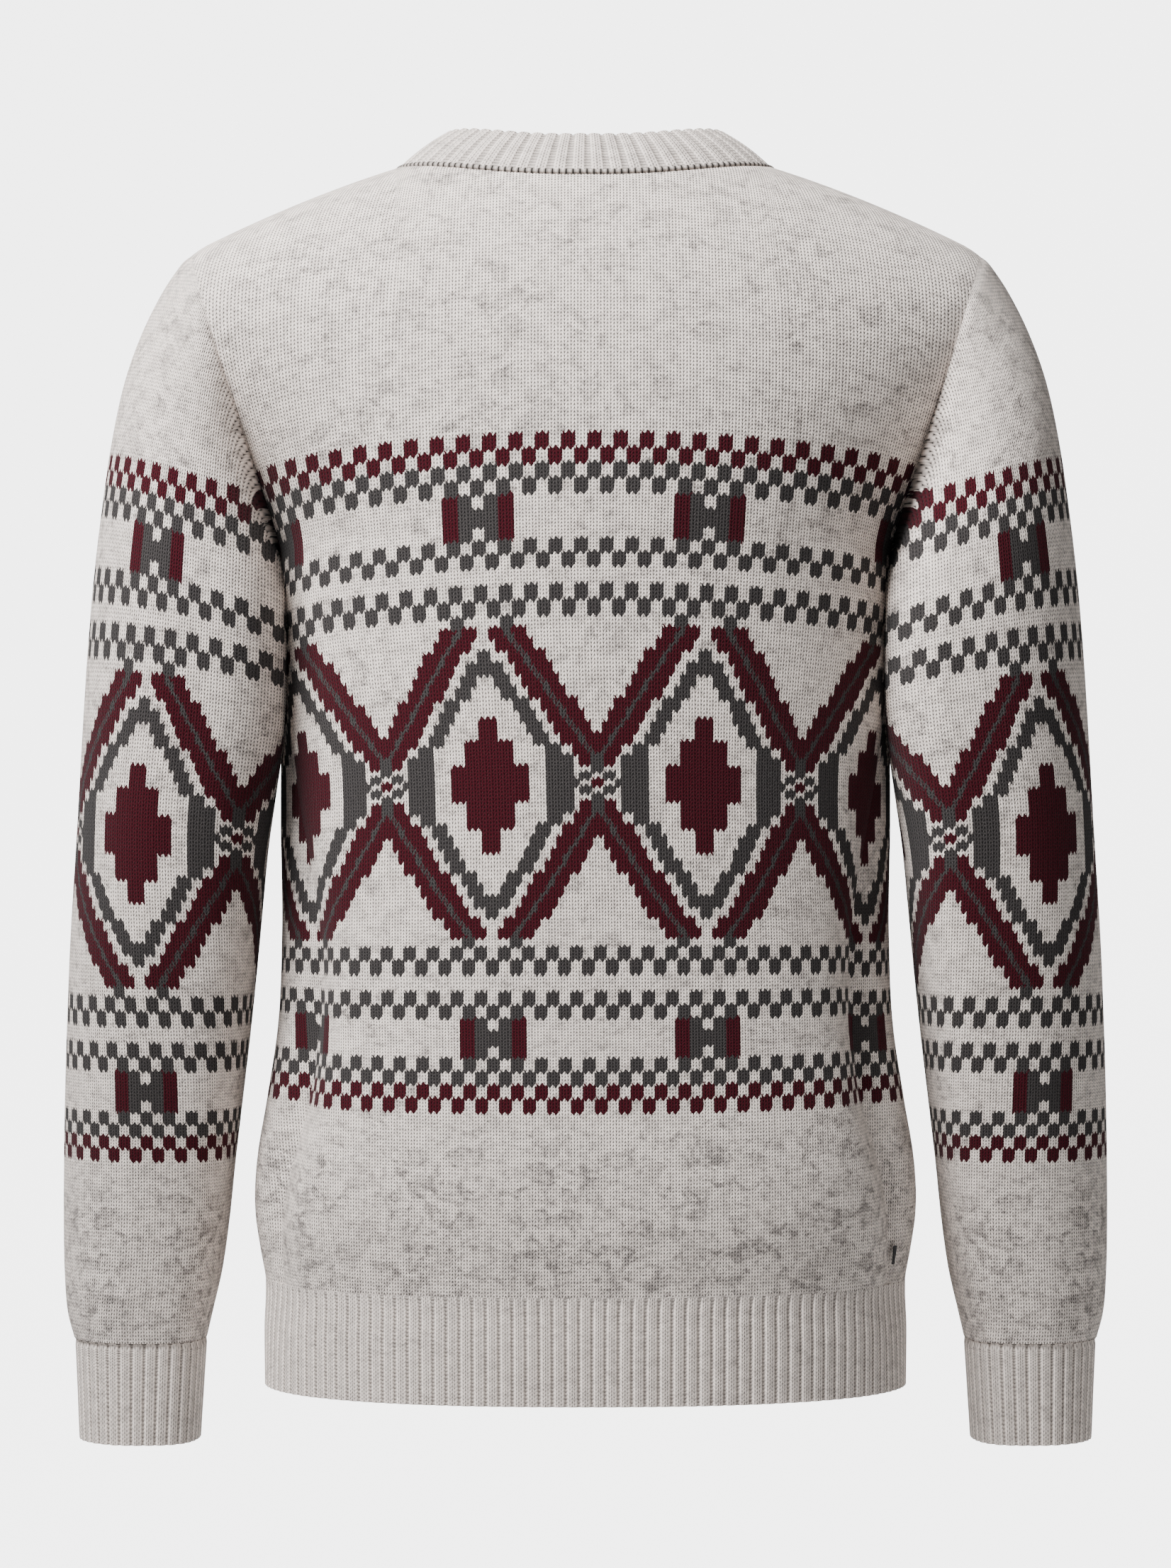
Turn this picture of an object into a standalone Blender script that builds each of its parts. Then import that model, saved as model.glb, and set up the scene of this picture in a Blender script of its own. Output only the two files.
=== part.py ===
# A crew-neck jacquard sweater, filled out as worn and hollow inside.
# Metres, +Z up. The front faces -Y and the back +Y, so the wearer's left is +X.
# The origin is between the shoulders, level with the sides of the neck seam.

import math
from collections import namedtuple

import bmesh
import bpy
import numpy as np

OBJECT_NAME = "jacquard_sweater"

# Cloth
WALL = 0.0025
SEAM_GAP = 0.0003
NECK_SET_OFF = 0.0004
RIB_INSIDE = 0.00125
RIB_TROUGH = 0.0006
RIB_CREST = 0.0017
RIB_START = 0.004
CREST_FROM = 0.22
CREST_TO = 0.78
MEASURE_STEP = 0.0005

# Body, heights measured from the origin
HEM_BOTTOM = -0.6705
HEM_SEAM = -0.6125
UNDERARM = -0.212
HEM_RIB_PITCH = 0.0071
PINCH_SPREAD = math.radians(12.0)
FRONT_CREASE_TURN = math.radians(116.0)
FRONT_CREASE_SHARE = 0.5

# Yoke, armholes and neck
RIDGE_HEIGHT = 0.018
RIDGE_DROP_POWER = 1.65
YOKE_ROUNDNESS = 2.43
YOKE_RISE_POWER = 1.35
YOKE_SQUARENESS = 2.15
SHOULDER_TIP_X = 0.216
SHOULDER_TIP_Z = -0.048
UNDERARM_X = 0.1673
ARMHOLE_DEPTH_BACK = 0.062
ARMHOLE_DEPTH_FRONT = 0.058
ARMHOLE_FULLNESS = 0.85
UNDERARM_SPREAD = 0.0024
UNDERARM_REACH = 0.13
NECK_HALF_WIDTH = 0.103
NECK_BACK = 0.066
NECK_SIDE_HEIGHT = -0.0007
NECK_DROP = 0.075
NECK_FRONT_ROUNDNESS = 1.6
NECK_RIB_PITCH = 0.0098

# Neckband, from the seam to its top edge
BAND_CENTRE_Y = -0.008
BAND_SHRINK_SIDE = 0.735
BAND_SHRINK_BACK = 0.730
BAND_SHRINK_FRONT = 0.865
BAND_RISE_SIDE = 0.0212
BAND_RISE_BACK = 0.0222
BAND_RISE_FRONT = 0.0250
BAND_BULGE = 0.0012

# Cuffs
CUFF_BOTTOM = -0.7050
CUFF_RIBS = 34

# Side tag, sewn in the wearer's right side seam
TAG_TOP = -0.5915
TAG_BOTTOM = -0.6015
TAG_WIDTH_TOP = math.radians(2.4)
TAG_WIDTH_BOTTOM = math.radians(0.9)
TAG_LIFT = 0.0003
TAG_THICKNESS = 0.0010

# How finely each wall is divided
BODY_ROWS = 14
YOKE_ROWS = 10
NECK_COLUMNS = 8
SHOULDER_COLUMNS = 8

BodySection = namedtuple(
    "BodySection", "height half_width back_depth front_depth squareness pinch seam_degrees")
BODY_SECTIONS = [
    BodySection(-0.6705, 0.1755, 0.1105, 0.1090, 2.30, 0.0000, 70.0),
    BodySection(-0.6400, 0.1758, 0.1118, 0.1100, 2.30, 0.0008, 70.0),
    BodySection(-0.6125, 0.1754, 0.1122, 0.1105, 2.32, 0.0020, 70.0),
    BodySection(-0.5970, 0.1782, 0.1148, 0.1135, 2.35, 0.0045, 70.0),
    BodySection(-0.5750, 0.1812, 0.1175, 0.1160, 2.40, 0.0062, 68.5),
    BodySection(-0.5500, 0.1804, 0.1178, 0.1162, 2.40, 0.0075, 66.0),
    BodySection(-0.5150, 0.1748, 0.1155, 0.1135, 2.40, 0.0085, 63.0),
    BodySection(-0.4750, 0.1688, 0.1135, 0.1115, 2.35, 0.0080, 62.5),
    BodySection(-0.4200, 0.1664, 0.1125, 0.1100, 2.28, 0.0060, 62.0),
    BodySection(-0.3600, 0.1672, 0.1128, 0.1105, 2.20, 0.0025, 68.0),
    BodySection(-0.3000, 0.1670, 0.1132, 0.1115, 2.15, 0.0004, 78.0),
    BodySection(-0.2500, 0.1665, 0.1132, 0.1122, 2.15, 0.0000, 85.0),
    BodySection(-0.2120, 0.1673, 0.1130, 0.1125, 2.15, 0.0000, 90.0),
]

# Sleeve rings below the armhole. Each is a closed section between a point on the
# sleeve's outer side and one on its inner side, next to the body.
SleeveRing = namedtuple(
    "SleeveRing", "outer_x outer_z inner_x inner_z centre_y half_depth armhole_share")
SLEEVE_RINGS = [
    SleeveRing(0.2223, -0.0550, 0.1708, -0.2145, 0.0020, 0.0620, 0.75),
    SleeveRing(0.2323, -0.0705, 0.1711, -0.2190, 0.0060, 0.0625, 0.45),
    SleeveRing(0.2427, -0.0930, 0.1707, -0.2260, 0.0130, 0.0628, 0.20),
    SleeveRing(0.2515, -0.1200, 0.1696, -0.2360, 0.0200, 0.0626, 0.05),
    SleeveRing(0.2578, -0.1520, 0.1682, -0.2500, 0.0260, 0.0622, 0.0),
    SleeveRing(0.2628, -0.1880, 0.1676, -0.2690, 0.0290, 0.0616, 0.0),
    SleeveRing(0.2673, -0.2260, 0.1677, -0.2920, 0.0295, 0.0608, 0.0),
    SleeveRing(0.2708, -0.2650, 0.1690, -0.3180, 0.0280, 0.0600, 0.0),
    SleeveRing(0.2737, -0.3050, 0.1720, -0.3450, 0.0255, 0.0590, 0.0),
    SleeveRing(0.2763, -0.3450, 0.1753, -0.3750, 0.0220, 0.0580, 0.0),
    SleeveRing(0.2791, -0.3850, 0.1787, -0.4080, 0.0180, 0.0565, 0.0),
    SleeveRing(0.2821, -0.4250, 0.1822, -0.4420, 0.0130, 0.0550, 0.0),
    SleeveRing(0.2844, -0.4650, 0.1862, -0.4770, 0.0070, 0.0530, 0.0),
    SleeveRing(0.2863, -0.5050, 0.1908, -0.5130, 0.0010, 0.0510, 0.0),
    SleeveRing(0.2876, -0.5430, 0.1953, -0.5480, -0.0050, 0.0490, 0.0),
    SleeveRing(0.2885, -0.5780, 0.1991, -0.5810, -0.0110, 0.0470, 0.0),
    SleeveRing(0.2886, -0.6080, 0.2034, -0.6095, -0.0155, 0.0448, 0.0),
    SleeveRing(0.2874, -0.6320, 0.2088, -0.6325, -0.0190, 0.0420, 0.0),
    SleeveRing(0.2838, -0.6475, 0.2123, -0.6475, -0.0205, 0.0388, 0.0),
]
CUFF_RINGS = [
    SleeveRing(0.2828, -0.6520, 0.2130, -0.6520, -0.0212, 0.0380, 0.0),
    SleeveRing(0.2812, CUFF_BOTTOM, 0.2168, CUFF_BOTTOM, -0.0270, 0.0362, 0.0),
]

LIGHT_YARN = (0.62, 0.60, 0.585)
RIB_YARN = (0.58, 0.56, 0.545)
TAG_TAPE = (0.05, 0.05, 0.05)


def smooth_value(keys, values, key):
    """The value at a key, along a smooth curve through the rows of a table."""
    slopes = np.gradient(values, keys)
    left = int(np.clip(np.searchsorted(keys, key) - 1, 0, len(keys) - 2))
    span = keys[left + 1] - keys[left]
    part = (key - keys[left]) / span
    rise = values[left + 1] - values[left]
    start = slopes[left] * span
    end = slopes[left + 1] * span
    return (values[left] + part * start + part ** 2 * (3 * rise - 2 * start - end)
            + part ** 3 * (start + end - 2 * rise))


def body_section(height):
    """The body's section at a height, between the rows of the table."""
    heights = [row.height for row in BODY_SECTIONS]
    values = [smooth_value(heights, [row[column] for row in BODY_SECTIONS], height)
              for column in range(1, len(BodySection._fields))]
    return BodySection(height, *values)


def body_point(height, turn):
    """A point of the cloth's middle. Turn is 0 at centre back and a right angle at the left side."""
    section = body_section(height)
    sideways = math.sin(turn)
    backward = math.cos(turn)
    power = 2.0 / section.squareness
    depth = section.back_depth if backward > 0 else section.front_depth
    x = section.half_width * math.copysign(abs(sideways) ** power, sideways)
    y = depth * math.copysign(abs(backward) ** power, backward)
    from_seam = (abs(turn) - math.radians(section.seam_degrees)) / PINCH_SPREAD
    from_crease = (abs(turn) - FRONT_CREASE_TURN) / PINCH_SPREAD
    pull = section.pinch * (math.exp(-from_seam ** 2)
                            + FRONT_CREASE_SHARE * math.exp(-from_crease ** 2))
    outward = np.array((x / section.half_width ** 2, y / depth ** 2))
    outward /= np.linalg.norm(outward)
    return np.array((x - pull * outward[0], y - pull * outward[1], height))


def armhole_point(side, rise):
    """A point of the left armhole, from the underarm at rise 0 to the shoulder tip at rise 1."""
    height = UNDERARM + (SHOULDER_TIP_Z - UNDERARM) * math.sin(rise * math.pi / 2)
    slope = (SHOULDER_TIP_X - UNDERARM_X) / (SHOULDER_TIP_Z - UNDERARM)
    depth = ARMHOLE_DEPTH_BACK if side > 0 else ARMHOLE_DEPTH_FRONT
    out = depth * abs(math.sin(rise * math.pi)) ** ARMHOLE_FULLNESS
    return np.array((UNDERARM_X + slope * (height - UNDERARM), side * out, height))


def yoke_point(side, across, rise):
    """A point of the cloth above the underarms. Across runs from 0 at the centre to 1 at the armhole."""
    base = body_section(UNDERARM)
    depth = base.back_depth if side > 0 else base.front_depth
    lift = math.pi / 2 * rise ** YOKE_RISE_POWER
    rounding = 2.0 / YOKE_ROUNDNESS
    centre_y = side * depth * max(math.cos(lift), 0.0) ** rounding
    centre_z = UNDERARM + (RIDGE_HEIGHT - UNDERARM) * math.sin(lift) ** rounding
    arm = armhole_point(side, rise)
    sweep = math.radians(90.0 - 58.0 * math.sin(rise * math.pi / 2) ** 0.8)
    power = 2.0 / YOKE_SQUARENESS
    sideways = (math.sin(sweep * abs(across)) / math.sin(sweep)) ** power
    edge = max(math.cos(sweep), 0.0) ** power
    backward = (max(math.cos(sweep * abs(across)), 0.0) ** power - edge) / (1.0 - edge)
    return np.array((math.copysign(arm[0] * sideways, across),
                     arm[1] + (centre_y - arm[1]) * backward,
                     centre_z + (arm[2] - centre_z) * sideways ** RIDGE_DROP_POWER))


def bisect(value, low, high):
    """Where a rising function passes zero."""
    for _ in range(40):
        middle = (low + high) / 2
        if value(middle) < 0:
            low = middle
        else:
            high = middle
    return (low + high) / 2


def neck_across():
    """How far across the shoulder seam the neck opening ends."""
    return bisect(lambda across: yoke_point(1, across, 1.0)[0] - NECK_HALF_WIDTH, 0.0, 1.0)


def inside_neck(side, point):
    """Positive within the neck opening: an ellipse seen from above at the back, and face on at the front."""
    sideways = (point[0] / NECK_HALF_WIDTH) ** 2
    if side > 0:
        return 1.0 - sideways - (point[1] / NECK_BACK) ** 2
    below = min((point[2] - NECK_SIDE_HEIGHT) / NECK_DROP, 0.0)
    return 1.0 - sideways - (-below) ** NECK_FRONT_ROUNDNESS


def top_rise(side, across):
    """How high a column of the yoke goes: to the neck opening, or to the shoulder seam."""
    if abs(across) >= neck_across() - 1e-6:
        return 1.0
    return bisect(lambda rise: inside_neck(side, yoke_point(side, across, rise)), 0.0, 1.0)


def panel_columns():
    """Places across a panel, from the right armhole to the left one."""
    neck = neck_across()
    half = [neck * math.sin(math.pi / 2 * j / NECK_COLUMNS) for j in range(NECK_COLUMNS)]
    half += [neck + (1.0 - neck) * j / SHOULDER_COLUMNS for j in range(SHOULDER_COLUMNS + 1)]
    return [-across for across in reversed(half[1:])] + half


def body_heights():
    """Row heights from the hem seam up to the underarm, closer together at the hem."""
    return [HEM_SEAM + (UNDERARM - HEM_SEAM) * (i / BODY_ROWS) ** 1.2 for i in range(BODY_ROWS + 1)]


def panel_turn(side, height, across):
    """The turn about the body that a place across a panel has at a height."""
    seam = math.radians(body_section(height).seam_degrees)
    return across * seam if side > 0 else math.copysign(math.pi, across) - across * (math.pi - seam)


def normal_of(surface, first, second, low, high):
    """The unit normal of a surface of two measures, from points a small step away in each."""
    around = surface(first + MEASURE_STEP, second) - surface(first - MEASURE_STEP, second)
    along = (surface(first, min(second + MEASURE_STEP, high))
             - surface(first, max(second - MEASURE_STEP, low)))
    normal = np.cross(around, along)
    return normal / np.linalg.norm(normal)


def panel_middle(side):
    """The middle of a panel's wall and its normals: rows from the hem seam up, columns right to left."""
    columns = panel_columns()
    rows = []
    normals = []
    for height in body_heights():
        turns = [panel_turn(side, height, across) for across in columns]
        rows.append([body_point(height, turn) for turn in turns])
        normals.append([normal_of(lambda turn, level: body_point(level, turn), turn, height,
                                  HEM_BOTTOM, UNDERARM) for turn in turns])
    tops = [top_rise(side, across) for across in columns]
    for i in range(1, YOKE_ROWS + 1):
        places = [(across, top * i / YOKE_ROWS) for across, top in zip(columns, tops)]
        rows.append([yoke_point(side, across, rise) for across, rise in places])
        normals.append([side * normal_of(lambda across, rise: yoke_point(side, across, rise),
                                         across, rise, 0.0, 1.0) for across, rise in places])
    return np.array(rows), np.array(normals)


def surface_normals(points, closed=False):
    """Unit normals of a grid of points, from the lines through each point's neighbours."""
    if closed:
        around = np.roll(points, -1, axis=1) - np.roll(points, 1, axis=1)
    else:
        around = np.gradient(points, axis=1)
    along = np.gradient(points, axis=0)
    normals = np.cross(around, along)
    return normals / np.linalg.norm(normals, axis=2, keepdims=True)


def facing(normals, points, centre):
    """The same normals, turned to point away from a centre."""
    outward = np.sum(normals * (points - centre))
    return normals if outward > 0 else -normals


def pulled_back(points, closed=False):
    """The grid with its edges drawn in by half a seam's gap."""
    result = points.copy()
    for edge, inner in ((0, 1), (-1, -2)):
        step = points[inner] - points[edge]
        result[edge] += step / np.linalg.norm(step, axis=1, keepdims=True) * SEAM_GAP / 2
    if not closed:
        for edge, inner in ((0, 1), (-1, -2)):
            step = points[:, inner] - points[:, edge]
            result[:, edge] += step / np.linalg.norm(step, axis=1, keepdims=True) * SEAM_GAP / 2
    return result


def wall_faces(rows, outer_columns, inner_columns, closed):
    """Faces of a closed wall: outer grid, inner grid, and rims that join their edges."""
    ratio = outer_columns // inner_columns
    outer_width = outer_columns if closed else outer_columns + 1
    inner_width = inner_columns if closed else inner_columns + 1
    first_inner = rows * outer_width

    def outer(i, j):
        return i * outer_width + j % outer_width

    def inner(i, j):
        return first_inner + i * inner_width + j % inner_width

    faces = []
    for i in range(rows - 1):
        for j in range(outer_columns):
            faces.append((outer(i, j), outer(i, j + 1), outer(i + 1, j + 1), outer(i + 1, j)))
        for j in range(inner_columns):
            faces.append((inner(i, j), inner(i + 1, j), inner(i + 1, j + 1), inner(i, j + 1)))
    for row, flip in ((0, True), (rows - 1, False)):
        for j in range(inner_columns):
            near, far = inner(row, j), inner(row, j + 1)
            edge = [outer(row, ratio * j + k) for k in range(ratio + 1)]
            if ratio == 1:
                rim = [(edge[0], edge[1], far, near)]
            else:
                rim = [(edge[0], edge[1], near), (edge[1], edge[2], near),
                       (edge[2], far, near), (edge[2], edge[3], far)]
            faces += [face[::-1] for face in rim] if flip else rim
    if not closed:
        last_outer, last_inner = outer_columns, inner_columns
        for i in range(rows - 1):
            faces.append((outer(i, 0), outer(i + 1, 0), inner(i + 1, 0), inner(i, 0)))
            faces.append((outer(i, last_outer), inner(i, last_inner),
                          inner(i + 1, last_inner), outer(i + 1, last_outer)))
    return faces


def material(name, colour, roughness):
    """A plain Principled material."""
    made = bpy.data.materials.new(name)
    made.use_nodes = True
    shader = made.node_tree.nodes["Principled BSDF"]
    shader.inputs["Base Color"].default_value = (*colour, 1.0)
    shader.inputs["Roughness"].default_value = roughness
    shader.inputs["Metallic"].default_value = 0.0
    return made


def add_wall(name, outer, inner, closed, colour):
    """A closed cloth wall from its outer and inner grids, as an object in the garment's collection."""
    rows = outer.shape[0]
    outer_columns = outer.shape[1] if closed else outer.shape[1] - 1
    inner_columns = inner.shape[1] if closed else inner.shape[1] - 1
    faces = wall_faces(rows, outer_columns, inner_columns, closed)
    points = np.concatenate((outer.reshape(-1, 3), inner.reshape(-1, 3)))
    mesh = bpy.data.meshes.new(name)
    mesh.from_pydata(points.tolist(), [], faces)
    split = bmesh.new()
    split.from_mesh(mesh)
    bmesh.ops.triangulate(split, faces=split.faces, quad_method='SHORT_EDGE')
    split.to_mesh(mesh)
    split.free()
    if signed_volume(mesh) < 0:
        mesh.flip_normals()
    mesh.shade_smooth()
    mesh.set_sharp_from_angle(angle=math.radians(50.0))
    mesh.materials.append(material(name + "_yarn", colour, 0.9))
    made = bpy.data.objects.new(name, mesh)
    bpy.data.collections[OBJECT_NAME].objects.link(made)
    return made


def signed_volume(mesh):
    """Volume within a mesh, negative where its faces point inward."""
    total = 0.0
    for face in mesh.polygons:
        corners = [mesh.vertices[index].co for index in face.vertices]
        for second, third in zip(corners[1:-1], corners[2:]):
            total += corners[0].dot(second.cross(third)) / 6.0
    return total


def add_plain_wall(name, middle, normals, closed=False):
    """A wall of even thickness about a grid."""
    return add_wall(name, middle + normals * WALL / 2, middle - normals * WALL / 2, closed, LIGHT_YARN)


def add_rib_wall(name, middle, normals, closed):
    """A rib-knit wall: three outer columns a rib, trough, crest and crest, over a plain inside."""
    relief = np.full(middle.shape[:2], RIB_CREST)
    relief[:, 0::3] = RIB_TROUGH
    relief[0] = (RIB_TROUGH + RIB_CREST) / 2
    outer = middle + normals * relief[:, :, None]
    inner = middle[:, 0::3] - normals[:, 0::3] * RIB_INSIDE
    return add_wall(name, outer, inner, closed, RIB_YARN)


def rib_places(ribs, closed):
    """Where a rib wall's outer columns lie along its length, from 0 to 1."""
    places = [(rib + part) / ribs for rib in range(ribs) for part in (0.0, CREST_FROM, CREST_TO)]
    return places if closed else places + [1.0]


def along_line(line, places):
    """Points at even parts of a line's length."""
    lengths = np.concatenate(([0.0], np.cumsum(np.linalg.norm(np.diff(line, axis=0), axis=1))))
    return np.stack([np.interp(np.array(places) * lengths[-1], lengths, line[:, axis])
                     for axis in range(line.shape[1])], axis=1)


def line_length(line):
    """The length of a line through points."""
    return float(np.sum(np.linalg.norm(np.diff(line, axis=0), axis=1)))


def panel_grids():
    """Middle grids and normals of both panels, with shared normals on the shoulder and side seams."""
    grids = {}
    for side in (1, -1):
        middle, normals = panel_middle(side)
        body_part = slice(0, BODY_ROWS + 1)
        yoke_part = slice(BODY_ROWS + 1, None)
        centre = np.array((0.0, 0.0, -0.4))
        normals[body_part] = facing(normals[body_part], middle[body_part], centre)
        normals[yoke_part] = facing(normals[yoke_part], middle[yoke_part], centre)
        grids[side] = (middle, normals)
    back, front = grids[1][1], grids[-1][1]
    for edge in (0, -1):
        shared = back[:BODY_ROWS + 1, edge] + front[:BODY_ROWS + 1, edge]
        shared /= np.linalg.norm(shared, axis=1, keepdims=True)
        back[:BODY_ROWS + 1, edge] = shared
        front[:BODY_ROWS + 1, edge] = shared
    for columns in (slice(0, SHOULDER_COLUMNS + 1), slice(-SHOULDER_COLUMNS - 1, None)):
        shared = back[-1, columns] + front[-1, columns]
        shared /= np.linalg.norm(shared, axis=1, keepdims=True)
        back[-1, columns] = shared
        front[-1, columns] = shared
    share_neck_normals(grids)
    return grids


def neck_columns():
    """The panel columns that end at the neck."""
    return slice(SHOULDER_COLUMNS, SHOULDER_COLUMNS + 2 * NECK_COLUMNS + 1)


def neck_line(grid_row_back, grid_row_front):
    """The closed line of the neck seam, from the left shoulder round the back to the right, then the front."""
    back = grid_row_back[neck_columns()][::-1]
    front = grid_row_front[neck_columns()]
    return np.concatenate((back, front[1:]))


def share_neck_normals(grids):
    """Turn the panels' normals on the neck seam halfway to the neckband's."""
    line = neck_line(grids[1][0][-1], grids[-1][0][-1])
    ring = line[:-1]
    around = np.roll(ring, -1, axis=0) - np.roll(ring, 1, axis=0)
    rising = np.array([band_top(point) for point in ring]) - ring
    band = np.cross(around, rising)
    band /= np.linalg.norm(band, axis=1, keepdims=True)
    band *= np.sign(np.sum(band * (ring - np.mean(ring, axis=0))))
    shared = neck_line(grids[1][1][-1], grids[-1][1][-1])[:-1] + band
    shared /= np.linalg.norm(shared, axis=1, keepdims=True)
    across_back = 2 * NECK_COLUMNS
    grids[1][1][-1, neck_columns()] = shared[:across_back + 1][::-1]
    grids[-1][1][-1, neck_columns()] = np.concatenate((shared[across_back:], shared[:1]))


def smooth_neck_line():
    """The neck seam as a fine line."""
    neck = neck_across()
    angles = np.linspace(math.pi / 2, -math.pi / 2, 61)
    across = [neck * math.sin(angle) for angle in angles]
    back = [yoke_point(1, value, top_rise(1, value)) for value in across]
    front = [yoke_point(-1, value, top_rise(-1, value)) for value in reversed(across)]
    return np.array(back + front[1:])


def band_top(point):
    """The neckband's top edge above a point of the neck seam: drawn in and lifted."""
    from_centre = np.array((point[0], point[1] - BAND_CENTRE_Y))
    direction = from_centre / np.linalg.norm(from_centre)
    to_back = max(direction[1], 0.0) ** 2
    to_front = max(-direction[1], 0.0) ** 2
    to_side = 1.0 - to_back - to_front
    shrink = (BAND_SHRINK_BACK * to_back + BAND_SHRINK_FRONT * to_front
              + BAND_SHRINK_SIDE * to_side)
    rise = BAND_RISE_BACK * to_back + BAND_RISE_FRONT * to_front + BAND_RISE_SIDE * to_side
    return np.array((from_centre[0] * shrink, BAND_CENTRE_Y + from_centre[1] * shrink,
                     point[2] + rise))


def add_neckband(grids):
    """The ribbed neckband, standing on the neck seam and leaning in."""
    seam = neck_line(grids[1][0][-1], grids[-1][0][-1])
    ribs = 2 * round(line_length(seam) / NECK_RIB_PITCH / 2)
    places = rib_places(ribs, closed=True)
    base = along_line(seam, places)
    smooth = along_line(smooth_neck_line(), places)
    top = np.array([band_top(point) for point in smooth])
    middle = smooth * 0.85 + top * 0.15
    step = top - base
    base = base + step / np.linalg.norm(step, axis=1, keepdims=True) * NECK_SET_OFF
    rows = np.array((base, middle, smooth * 0.42 + top * 0.58, top))
    normals = surface_normals(rows, closed=True)
    normals = facing(normals, rows, np.mean(rows, axis=(0, 1)) - np.array((0.0, 0.0, 0.05)))
    rows[1] += normals[1] * BAND_BULGE * 0.5
    rows[2] += normals[2] * BAND_BULGE
    lengths = np.concatenate(([0.0], np.cumsum(np.linalg.norm(np.diff(seam, axis=0), axis=1))))
    seam_normals = neck_line(grids[1][1][-1], grids[-1][1][-1])
    shared = np.stack([np.interp(np.array(places) * lengths[-1], lengths, seam_normals[:, axis])
                       for axis in range(3)], axis=1)
    normals[0] = shared / np.linalg.norm(shared, axis=1, keepdims=True)
    add_rib_wall("neckband", rows, normals, closed=True)


def add_panels(grids):
    """Back and front, each from the hem seam to the shoulders."""
    for name, side in (("back", 1), ("front", -1)):
        middle, normals = grids[side]
        add_plain_wall(name, pulled_back(middle), normals)


def add_hem_ribs():
    """The hem's rib, in two halves that meet at the side seams."""
    heights = (HEM_SEAM - SEAM_GAP / 2, HEM_SEAM - RIB_START, HEM_BOTTOM)
    for name, side in (("hem_rib_back", 1), ("hem_rib_front", -1)):
        fine = np.linspace(-1.0, 1.0, 241)
        turns = np.array([panel_turn(side, HEM_SEAM, across) for across in fine])
        line = np.array([body_point(HEM_SEAM, turn) for turn in turns])
        trim = SEAM_GAP / 2 / line_length(line)
        ribs = round(line_length(line) / HEM_RIB_PITCH)
        places = np.array(rib_places(ribs, closed=False)) * (1 - 2 * trim) + trim
        lengths = np.concatenate(([0.0], np.cumsum(np.linalg.norm(np.diff(line, axis=0), axis=1))))
        across = np.interp(places * lengths[-1], lengths, fine)
        rows = np.array([[body_point(height, panel_turn(side, HEM_SEAM, value)) for value in across]
                         for height in heights])
        normals = facing(surface_normals(rows), rows, np.array((0.0, 0.0, HEM_SEAM)))
        add_rib_wall(name, rows, normals, closed=False)


def sleeve_places():
    """Rises round the armhole, from the shoulder tip down the back and up the front, with their side."""
    steps = [i / YOKE_ROWS for i in range(YOKE_ROWS + 1)]
    return [(1, rise) for rise in reversed(steps)] + [(-1, rise) for rise in steps[1:-1]]


def ring_point(ring, angle):
    """A point of a sleeve ring. Angle is 0 on the outer side and a right angle at the back."""
    outer = np.array((ring.outer_x, ring.centre_y, ring.outer_z))
    inner = np.array((ring.inner_x, ring.centre_y, ring.inner_z))
    middle = (outer + inner) / 2
    return (middle + (outer - inner) / 2 * math.cos(angle)
            + np.array((0.0, ring.half_depth * math.sin(angle), 0.0)))


def sleeve_angle(side, rise, armhole_share):
    """The angle round a ring for a place on the armhole, evened out away from the seam."""
    matched = math.acos(2.0 * math.sin(rise * math.pi / 2) - 1.0)
    even = math.pi * (1.0 - rise)
    return side * (matched * armhole_share + even * (1.0 - armhole_share))


def sleeve_middle():
    """The middle of the left sleeve's wall: rows from the armhole down, columns round it."""
    places = sleeve_places()
    first = []
    for side, rise in places:
        point = armhole_point(side, rise)
        if rise < UNDERARM_REACH:
            point = point + np.array((UNDERARM_SPREAD, 0.0, 0.0))
        first.append(point)
    rows = [first]
    seam_ring = SleeveRing(SHOULDER_TIP_X, SHOULDER_TIP_Z, UNDERARM_X, UNDERARM, 0.0,
                           ARMHOLE_DEPTH_BACK, 1.0)
    for ring in SLEEVE_RINGS:
        row = []
        for place, (side, rise) in enumerate(places):
            angle = sleeve_angle(side, rise, ring.armhole_share)
            shape = first[place] - ring_point(seam_ring, sleeve_angle(side, rise, 1.0))
            row.append(ring_point(ring, angle) + shape * ring.armhole_share)
        rows.append(row)
    return np.array(rows)


def sleeve_grid(panels):
    """The left sleeve's middle grid and normals, which share the armhole's normals but for the underarm."""
    middle = sleeve_middle()
    normals = surface_normals(middle, closed=True)
    centres = np.mean(middle, axis=1, keepdims=True)
    normals = facing(normals, middle, centres)
    for place, (side, rise) in enumerate(sleeve_places()):
        if rise < UNDERARM_REACH:
            continue
        row = BODY_ROWS + round(rise * YOKE_ROWS)
        shared = panels[side][1][row, -1] + normals[0, place]
        shared /= np.linalg.norm(shared)
        normals[0, place] = shared
        for edge, mirror in ((-1, 1.0), (0, -1.0)):
            panels[side][1][row, edge] = shared * np.array((mirror, 1.0, 1.0))
    return middle, normals


def mirrored(points):
    """The same grid on the wearer's right."""
    return points * np.array((-1.0, 1.0, 1.0))


def add_sleeves(middle, normals):
    """Both sleeves, from the armhole to the cuff seam."""
    middle = pulled_back(middle, closed=True)
    add_plain_wall("sleeve_left", middle, normals, closed=True)
    add_plain_wall("sleeve_right", mirrored(middle), mirrored(normals), closed=True)


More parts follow.
